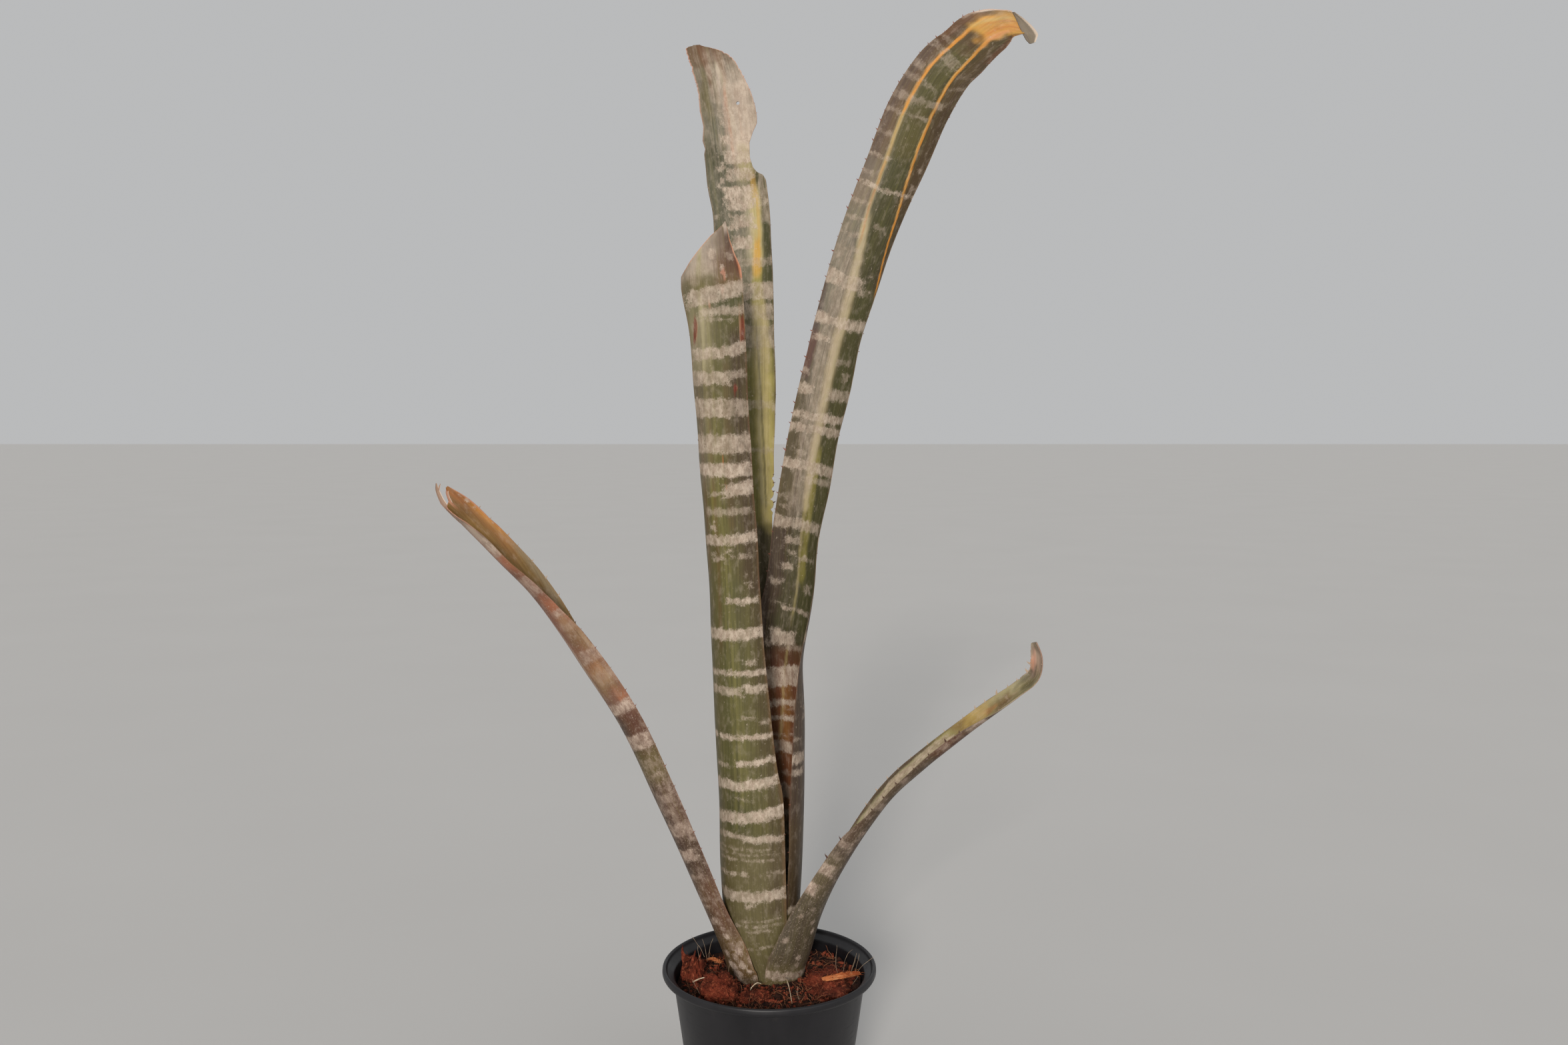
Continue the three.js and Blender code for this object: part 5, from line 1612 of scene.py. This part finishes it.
def keep_inside(point, limit=LUMP_LIMIT):
    """Draws a point in from the pot's wall, more gently the further in it lies."""
    reach = math.hypot(point.x, point.y)
    soft = 0.12 * limit
    if reach > limit - soft:
        share = (limit - soft + soft * math.tanh((reach - limit + soft) / soft)) / reach
        point.x *= share
        point.y *= share
    return point


def husk_grains(draw):
    small = ball(1)
    grains = Builder()
    for _ in range(GRAIN_COUNT):
        x, y = random_spot(draw, GRAIN_REACH)
        size = draw.uniform(0.5, 1.9)
        shape = (size * draw.uniform(0.8, 2.2), size, size * draw.uniform(0.5, 0.9))
        spot = Vector((x, y, mix_height(x, y) + 0.2 * size))
        grains.grain(small, spot, shape, random_turn(draw), draw.uniform(0, 50))
    return grains


def husk_fibres(draw):
    fibres = Builder()
    for _ in range(FIBRE_COUNT):
        x, y = random_spot(draw, FIBRE_REACH)
        heading = Vector((draw.gauss(0, 1), draw.gauss(0, 1), draw.uniform(0, 0.5)))
        length = draw.uniform(4, 15)
        path = curly(draw, Vector((x, y, mix_height(x, y) + 0.1)), heading, length, 0.28, 7)
        for point in path:
            keep_inside(point, FIBRE_LIMIT)
            point.z = max(point.z, mix_height(point.x, point.y) + 0.1)
            point.z = min(point.z, MIX_TOP + FIBRE_RISE)
        width = draw.choice((0.07, 0.09, 0.12, 0.2))
        fibres.tube(path, [width] * 7 + [0.3 * width])
    return fibres


def build_litter():
    """Loose grains and fibres of husk over the mix."""
    draw = random.Random(LITTER_SEED)
    grains = husk_grains(draw)
    fibres = husk_fibres(draw)
    grains.link("husk_grains", 60, "coir")
    fibres.link("husk_fibres", 60, "fibre")


def build_hairs():
    """Thin pale hairs of husk that stand up from the litter."""
    draw = random.Random(HAIR_SEED)
    hairs = Builder()
    for start, heading, length in HAIRS:
        path = curly(draw, Vector(start), Vector(heading), length, 0.10, 9)
        hairs.tube(path, [0.11] * 9 + [0.04])
    hairs.link("husk_hairs", 60, "hair")


class Lump(Builder):
    """A lump of husk: a pitted core, matted with short curved strands, stray fibres and upright flakes."""

    def __init__(self, centre, size, seed, flat_top=None):
        super().__init__()
        self.centre, self.size, self.seed, self.flat_top = Vector(centre), Vector(size), seed, flat_top
        self.draw = random.Random(seed)
        self.points, self.faces = ball(5)
        self.verts = [self.skin(v) * MM for v in self.points]

    def skin(self, v):
        """The point of the surface in one direction from the middle."""
        seed = self.seed
        swell = 1 + 0.34 * noise.fractal(v * 1.5 + Vector((seed, -seed, seed * 0.5)), 0.8, 2.0, 5)
        swell -= 0.26 * max(0.0, noise.noise(v * 4.2 + Vector((seed, 3, 1))) - 0.05)
        swell += 0.05 * noise.noise(v * 9.0 + Vector((1, seed, 5)))
        p = v * self.size * swell + self.centre
        p.z = max(p.z, MIX_TOP - 2.5)
        if self.flat_top:
            p.z = min(p.z, self.flat_top + 1.6 * noise.noise(p / 4.0))
        return keep_inside(p)

    def lay_strands(self, count):
        """Strands that follow the surface along a common grain and lift off at their ends."""
        draw = self.draw
        grain = random_turn(draw) @ Vector((1, 0, 0))
        for _ in range(count):
            v = self.points[draw.randrange(len(self.points))].copy()
            if v.z < -0.3:
                continue
            heading = (grain + random_vector(draw, 0.6)).normalized()
            stride = draw.uniform(1.0, 2.4) / max(self.size)
            lift = draw.uniform(0.1, 0.7)
            path = []
            for k in range(6):
                path.append(keep_inside(self.skin(v) + v * (0.1 + lift * (k / 5) ** 2)))
                heading += random_vector(draw, 0.3)
                v = (v + heading.normalized() * stride).normalized()
            width = draw.uniform(0.10, 0.28)
            self.tube(path, [0.6 * width] + [width] * 4 + [0.3 * width], 3)

    def add_strays(self, count):
        """Thin fibres that stand off the upper half."""
        draw = self.draw
        for _ in range(count):
            v = self.points[draw.randrange(len(self.points))]
            if v.z < 0.0:
                continue
            heading = v + Vector((draw.gauss(0, 0.7), draw.gauss(0, 0.7), draw.gauss(0, 0.5)))
            path = curly(draw, self.skin(v), heading, draw.uniform(2.0, 7.0), 0.3, 5)
            width = draw.uniform(0.05, 0.12)
            self.tube([keep_inside(p) for p in path], [width] * 5 + [0.3 * width], 3)

    def add_flakes(self, count):
        """Wide upright flakes that taper to a point."""
        draw = self.draw
        for _ in range(count):
            v = Vector((draw.uniform(-0.8, 0.8), draw.uniform(-0.8, 0.6), 0.3)).normalized()
            heading = Vector((draw.uniform(-0.25, 0.3), draw.uniform(-0.2, 0.2), 1.0))
            path = curly(draw, self.skin(v) - Vector((0, 0, 3)), heading, draw.uniform(9, 17), 0.12, 6)
            width = draw.uniform(0.7, 1.7)
            radii = [width * share for share in (1, 1.1, 1, 0.8, 0.6, 0.35, 0.08)]
            self.tube([keep_inside(p, FLAKE_LIMIT) for p in path], radii, 5)


def build_lump(name, node, centre, size, seed, strands, flakes=0, flat_top=None):
    lump = Lump(centre, size, seed, flat_top)
    lump.lay_strands(strands)
    lump.add_strays(strands // 6)
    lump.add_flakes(flakes)
    lump.link(name, 75, "coir", node)


class Chip(Builder):
    """A split chip: a long flake with ridges along its grain, ragged ends and a few loose fibres."""

    def __init__(self, start, end, width, thick, seed, arch):
        super().__init__()
        self.draw = random.Random(seed)
        self.start = Vector(start)
        self.along = Vector(end) - self.start
        self.length = self.along.length
        self.along.normalize()
        self.side = self.along.cross(Vector((0, 0, 1))).normalized()
        self.up = self.side.cross(self.along)
        self.width, self.thick, self.seed, self.arch = width, thick, seed, arch
        columns = range(CHIP_WIDE + 1)
        self.ends = [(self.draw.uniform(0, 0.12), self.draw.uniform(0.88, 1.0)) for _ in columns]
        self.verts, self.faces = two_skins(CHIP_LONG, CHIP_WIDE, self.place)

    def bumps(self, u, v):
        return noise.noise(Vector((u, v, self.seed)))

    def place(self, skin, u, v):
        """The point of the upper (1) or lower (-1) skin, in metres."""
        low, high = self.ends[round(v * CHIP_WIDE)]
        u = low + (high - low) * u
        v = 2 * v - 1
        taper = 0.72 + 0.28 * noise.noise(Vector((u * 5, self.seed, 0)))
        outline = (1 - abs(2 * u - 1) ** 3) ** 0.5 * taper
        across = v * 0.5 * self.width * (0.35 + 0.65 * outline)
        ridge = self.bumps(u * 3.0, v * 5.5) + 0.5 * self.bumps(u * 9, v * 14)
        edge = max(0.06, (1 - v * v) * (0.3 + 0.7 * outline))
        rise = skin * 0.5 * self.thick * edge * (1 + 0.5 * ridge) + 0.28 * self.thick * ridge
        rise += self.arch * (1 - (2 * u - 1) ** 2) + 0.12 * self.thick * self.bumps(u * 22, v * 20)
        return (self.start + self.along * (u * self.length) + self.side * across + self.up * rise) * MM

    def add_fibres(self):
        draw = self.draw
        for _ in range(CHIP_FIBRES):
            spot = self.start + self.along * (self.length * draw.uniform(0.1, 0.95))
            spot += self.side * (self.width * draw.uniform(-0.4, 0.4))
            heading = self.along * draw.uniform(0.2, 1.0) + self.up * draw.uniform(0.1, 0.6)
            heading += self.side * draw.uniform(-0.5, 0.5)
            path = curly(draw, spot, heading, draw.uniform(2.0, 6.0), 0.22, 5)
            self.tube(path, [0.13] * 5 + [0.04], 3)


def build_chip(name, node, start, end, width, thick, seed, arch=0.0):
    chip = Chip(start, end, width, thick, seed, arch)
    chip.add_fibres()
    chip.link(name, 60, "chip", node, "husk_chip")


def build_strand(name, node, points, radius):
    """A root or twig with small swellings, thinner at its free end."""
    path = catmull_rom([Vector(p) for p in points], 12)
    radii = []
    for i, point in enumerate(path):
        swell = 1 + 0.22 * noise.noise(point * 0.9)
        radii.append(radius * swell * (1 - 0.45 * (i / (len(path) - 1)) ** 2))
    strand = Builder()
    strand.tube(path, radii, 10)
    strand.link(name, 60, "root", node, "pale_root")


# Where each standing hair starts, the way it heads and its length, in millimetres
HAIRS = [
    ((-46, 6, 127), (-0.45, 0, 1), 18), ((-43, 10, 124), (0.25, 0, 1), 15), ((-49, 2, 126), (0.1, 0, 1), 11),
    ((-28, -20, 117), (-0.15, 0, 1), 16), ((-47, -29, 115), (-0.4, 0, 1), 12),
    ((-44, 14, 120), (-0.2, 0.2, 1), 17), ((57, -4, 119), (0.15, 0, 1), 12),
    ((60, -3, 119), (0.2, -0.1, 1), 15), ((61, -4, 119), (0.55, 0, 1), 19),
    ((52, 2, 118), (0.15, 0.1, 1), 20), ((48, 0, 118), (-0.3, 0.2, 1), 19),
    ((58, 4, 117), (0.3, 0.2, 1), 16), ((20, -33, 113), (0.2, 0, 1), 9), ((21, -33, 113), (-0.3, 0, 1), 7),
    ((62, -6, 118), (-0.4, -0.2, -0.6), 9),
]


# Light, floor and camera

CAMERA_PLACE = (0.0103, -0.911, 0.504)
CAMERA_PITCH_DOWN = 4.3
FOCAL_PIXELS = 2000.0
PHOTO_WIDTH = 2352.0
SENSOR = 36.0
FLOOR_REACH = 30


def add_camera():
    data = bpy.data.cameras.new("view")
    data.sensor_width = SENSOR
    data.lens = SENSOR * FOCAL_PIXELS / PHOTO_WIDTH
    data.clip_start = 0.01
    data.clip_end = 60.0
    camera = bpy.data.objects.new("view", data)
    camera.location = CAMERA_PLACE
    camera.rotation_euler = (math.radians(90.0 - CAMERA_PITCH_DOWN), 0.0, 0.0)
    bpy.context.scene.collection.objects.link(camera)
    bpy.context.scene.camera = camera


def add_sun(name, place, spread, power, colour):
    """A sun that shines from its place to the middle of the plant."""
    data = bpy.data.lights.new(name, "SUN")
    data.angle = math.radians(spread)
    data.energy = power
    data.color = colour
    light = bpy.data.objects.new(name, data)
    light.location = place
    light.rotation_euler = (Vector((0.0, 0.0, 0.42)) - Vector(place)).to_track_quat("-Z", "Y").to_euler()
    bpy.context.scene.collection.objects.link(light)


def add_studio():
    corners = [(-FLOOR_REACH, -FLOOR_REACH, 0), (FLOOR_REACH, -FLOOR_REACH, 0),
               (FLOOR_REACH, FLOOR_REACH, 0), (-FLOOR_REACH, FLOOR_REACH, 0)]
    mesh = bpy.data.meshes.new("floor")
    mesh.from_pydata(corners, [], [(0, 1, 2, 3)])
    mesh.materials.append(floor_material())
    floor = bpy.data.objects.new("floor", mesh)
    bpy.context.scene.collection.objects.link(floor)
    floor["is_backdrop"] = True
    world = bpy.data.worlds.new("studio")
    world.use_nodes = True
    back = world.node_tree.nodes["Background"]
    back.inputs["Color"].default_value = (0.98, 0.99, 1.0, 1.0)
    back.inputs["Strength"].default_value = 0.50
    bpy.context.scene.world = world
    bpy.context.scene.view_settings.view_transform = "Standard"
    add_sun("key", (-0.34, -2.4, 1.25), 9.0, 2.25, (1.0, 0.955, 0.90))
    add_sun("fill", (1.6, -1.6, 0.8), 60.0, 0.45, (0.95, 0.97, 1.0))


add_camera()
MATERIALS = {
    "banded_leaf": leaf_material("banded_leaf_tissue", True, SILVER, SILVER_SHADE, 1.0, 0.42, 0.63),
    "old_leaf": leaf_material("old_leaf_tissue", False, OLD_SILVER, OLD_SHADE, 0.7, 0.9, 0.56),
    "plastic": plastic_material(),
    "mix": coir_material("mix_crumb", (0.006, 0.003, 0.002), (0.028, 0.010, 0.006), (0.085, 0.028, 0.014)),
    "coir": coir_material("husk_matted", (0.038, 0.008, 0.004), (0.20, 0.038, 0.018), (0.40, 0.115, 0.055)),
    "chip": coir_material("husk_split", (0.27, 0.06, 0.018), (0.52, 0.17, 0.06), (0.68, 0.33, 0.15), 0.7,
                          (0.5, 1.6, 1.6)),
    "fibre": strand_material("husk_strand", (0.09, 0.028, 0.013), (0.27, 0.11, 0.05)),
    "hair": strand_material("husk_hair", (0.22, 0.15, 0.10), (0.42, 0.32, 0.22)),
    "root": strand_material("root_pale", (0.36, 0.25, 0.16), (0.62, 0.50, 0.36)),
    "stem": coir_material("stem_scale", (0.05, 0.04, 0.02), (0.16, 0.12, 0.06), (0.30, 0.24, 0.13), 0.5),
}

for leaf in (FRONT, BACK, TALL, LOWER_LEFT, LOWER_RIGHT):
    link_piece(leaf["name"], leaf_mesh(leaf), MATERIALS[leaf["slot"]], leaf["node"], leaf["slot"])

build_pot()
build_mix()
build_litter()
build_hairs()
build_lump("coir_ragged", "coir_chunk_left", (-55, 4, 116), (9.0, 8.5, 11), 3, 620, flakes=9)
build_lump("coir_ball", "coir_chunk_front_left", (-34, -28, 117), (12.5, 11, 11.5), 9, 900)
build_lump("coir_crumb", "coir_chunk_front", (-10, -32, 112.5), (10.5, 7.5, 6), 15, 420)
build_lump("coir_mound", "coir_mound_right", (43, -5, 110), (18, 28, 7.5), 21, 1100, flat_top=117.5)
build_chip("chip_split", "bark_chip_right", (36.5, -14, 119), (64, -3, 119.3), 9, 3.4, 4)
build_chip("chip_curved", "bark_chip_left", (-46, 27, 116.5), (-35, 22, 116), 6, 1.6, 8, 1.5)
build_strand("twig_pale", "twig_left", [(-53, -12, 116.5), (-48, -9, 117.6), (-42, -7.5, 118.5)], 0.48)
build_strand("root_curl", "root_front_left",
             [(-5.8, -12.3, 115.4), (-8.5, -15, 117), (-12, -19, 115.6), (-13.5, -22.5, 112.9)], 0.38)
build_strand("root_long", "root_front_right",
             [(10.8, -8.6, 117.5), (12.2, -15, 119), (14, -26, 117.5), (15.7, -38.5, 113)], 0.40)

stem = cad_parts["stem"]
stem.data.materials.clear()
stem.data.materials.append(MATERIALS["stem"])

add_studio()

bpy.context.view_layer.update()
boxes = {"cad": cad_box, "visual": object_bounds()}
{key: [[float(x) for x in corner] for corner in box] for key, box in boxes.items()}
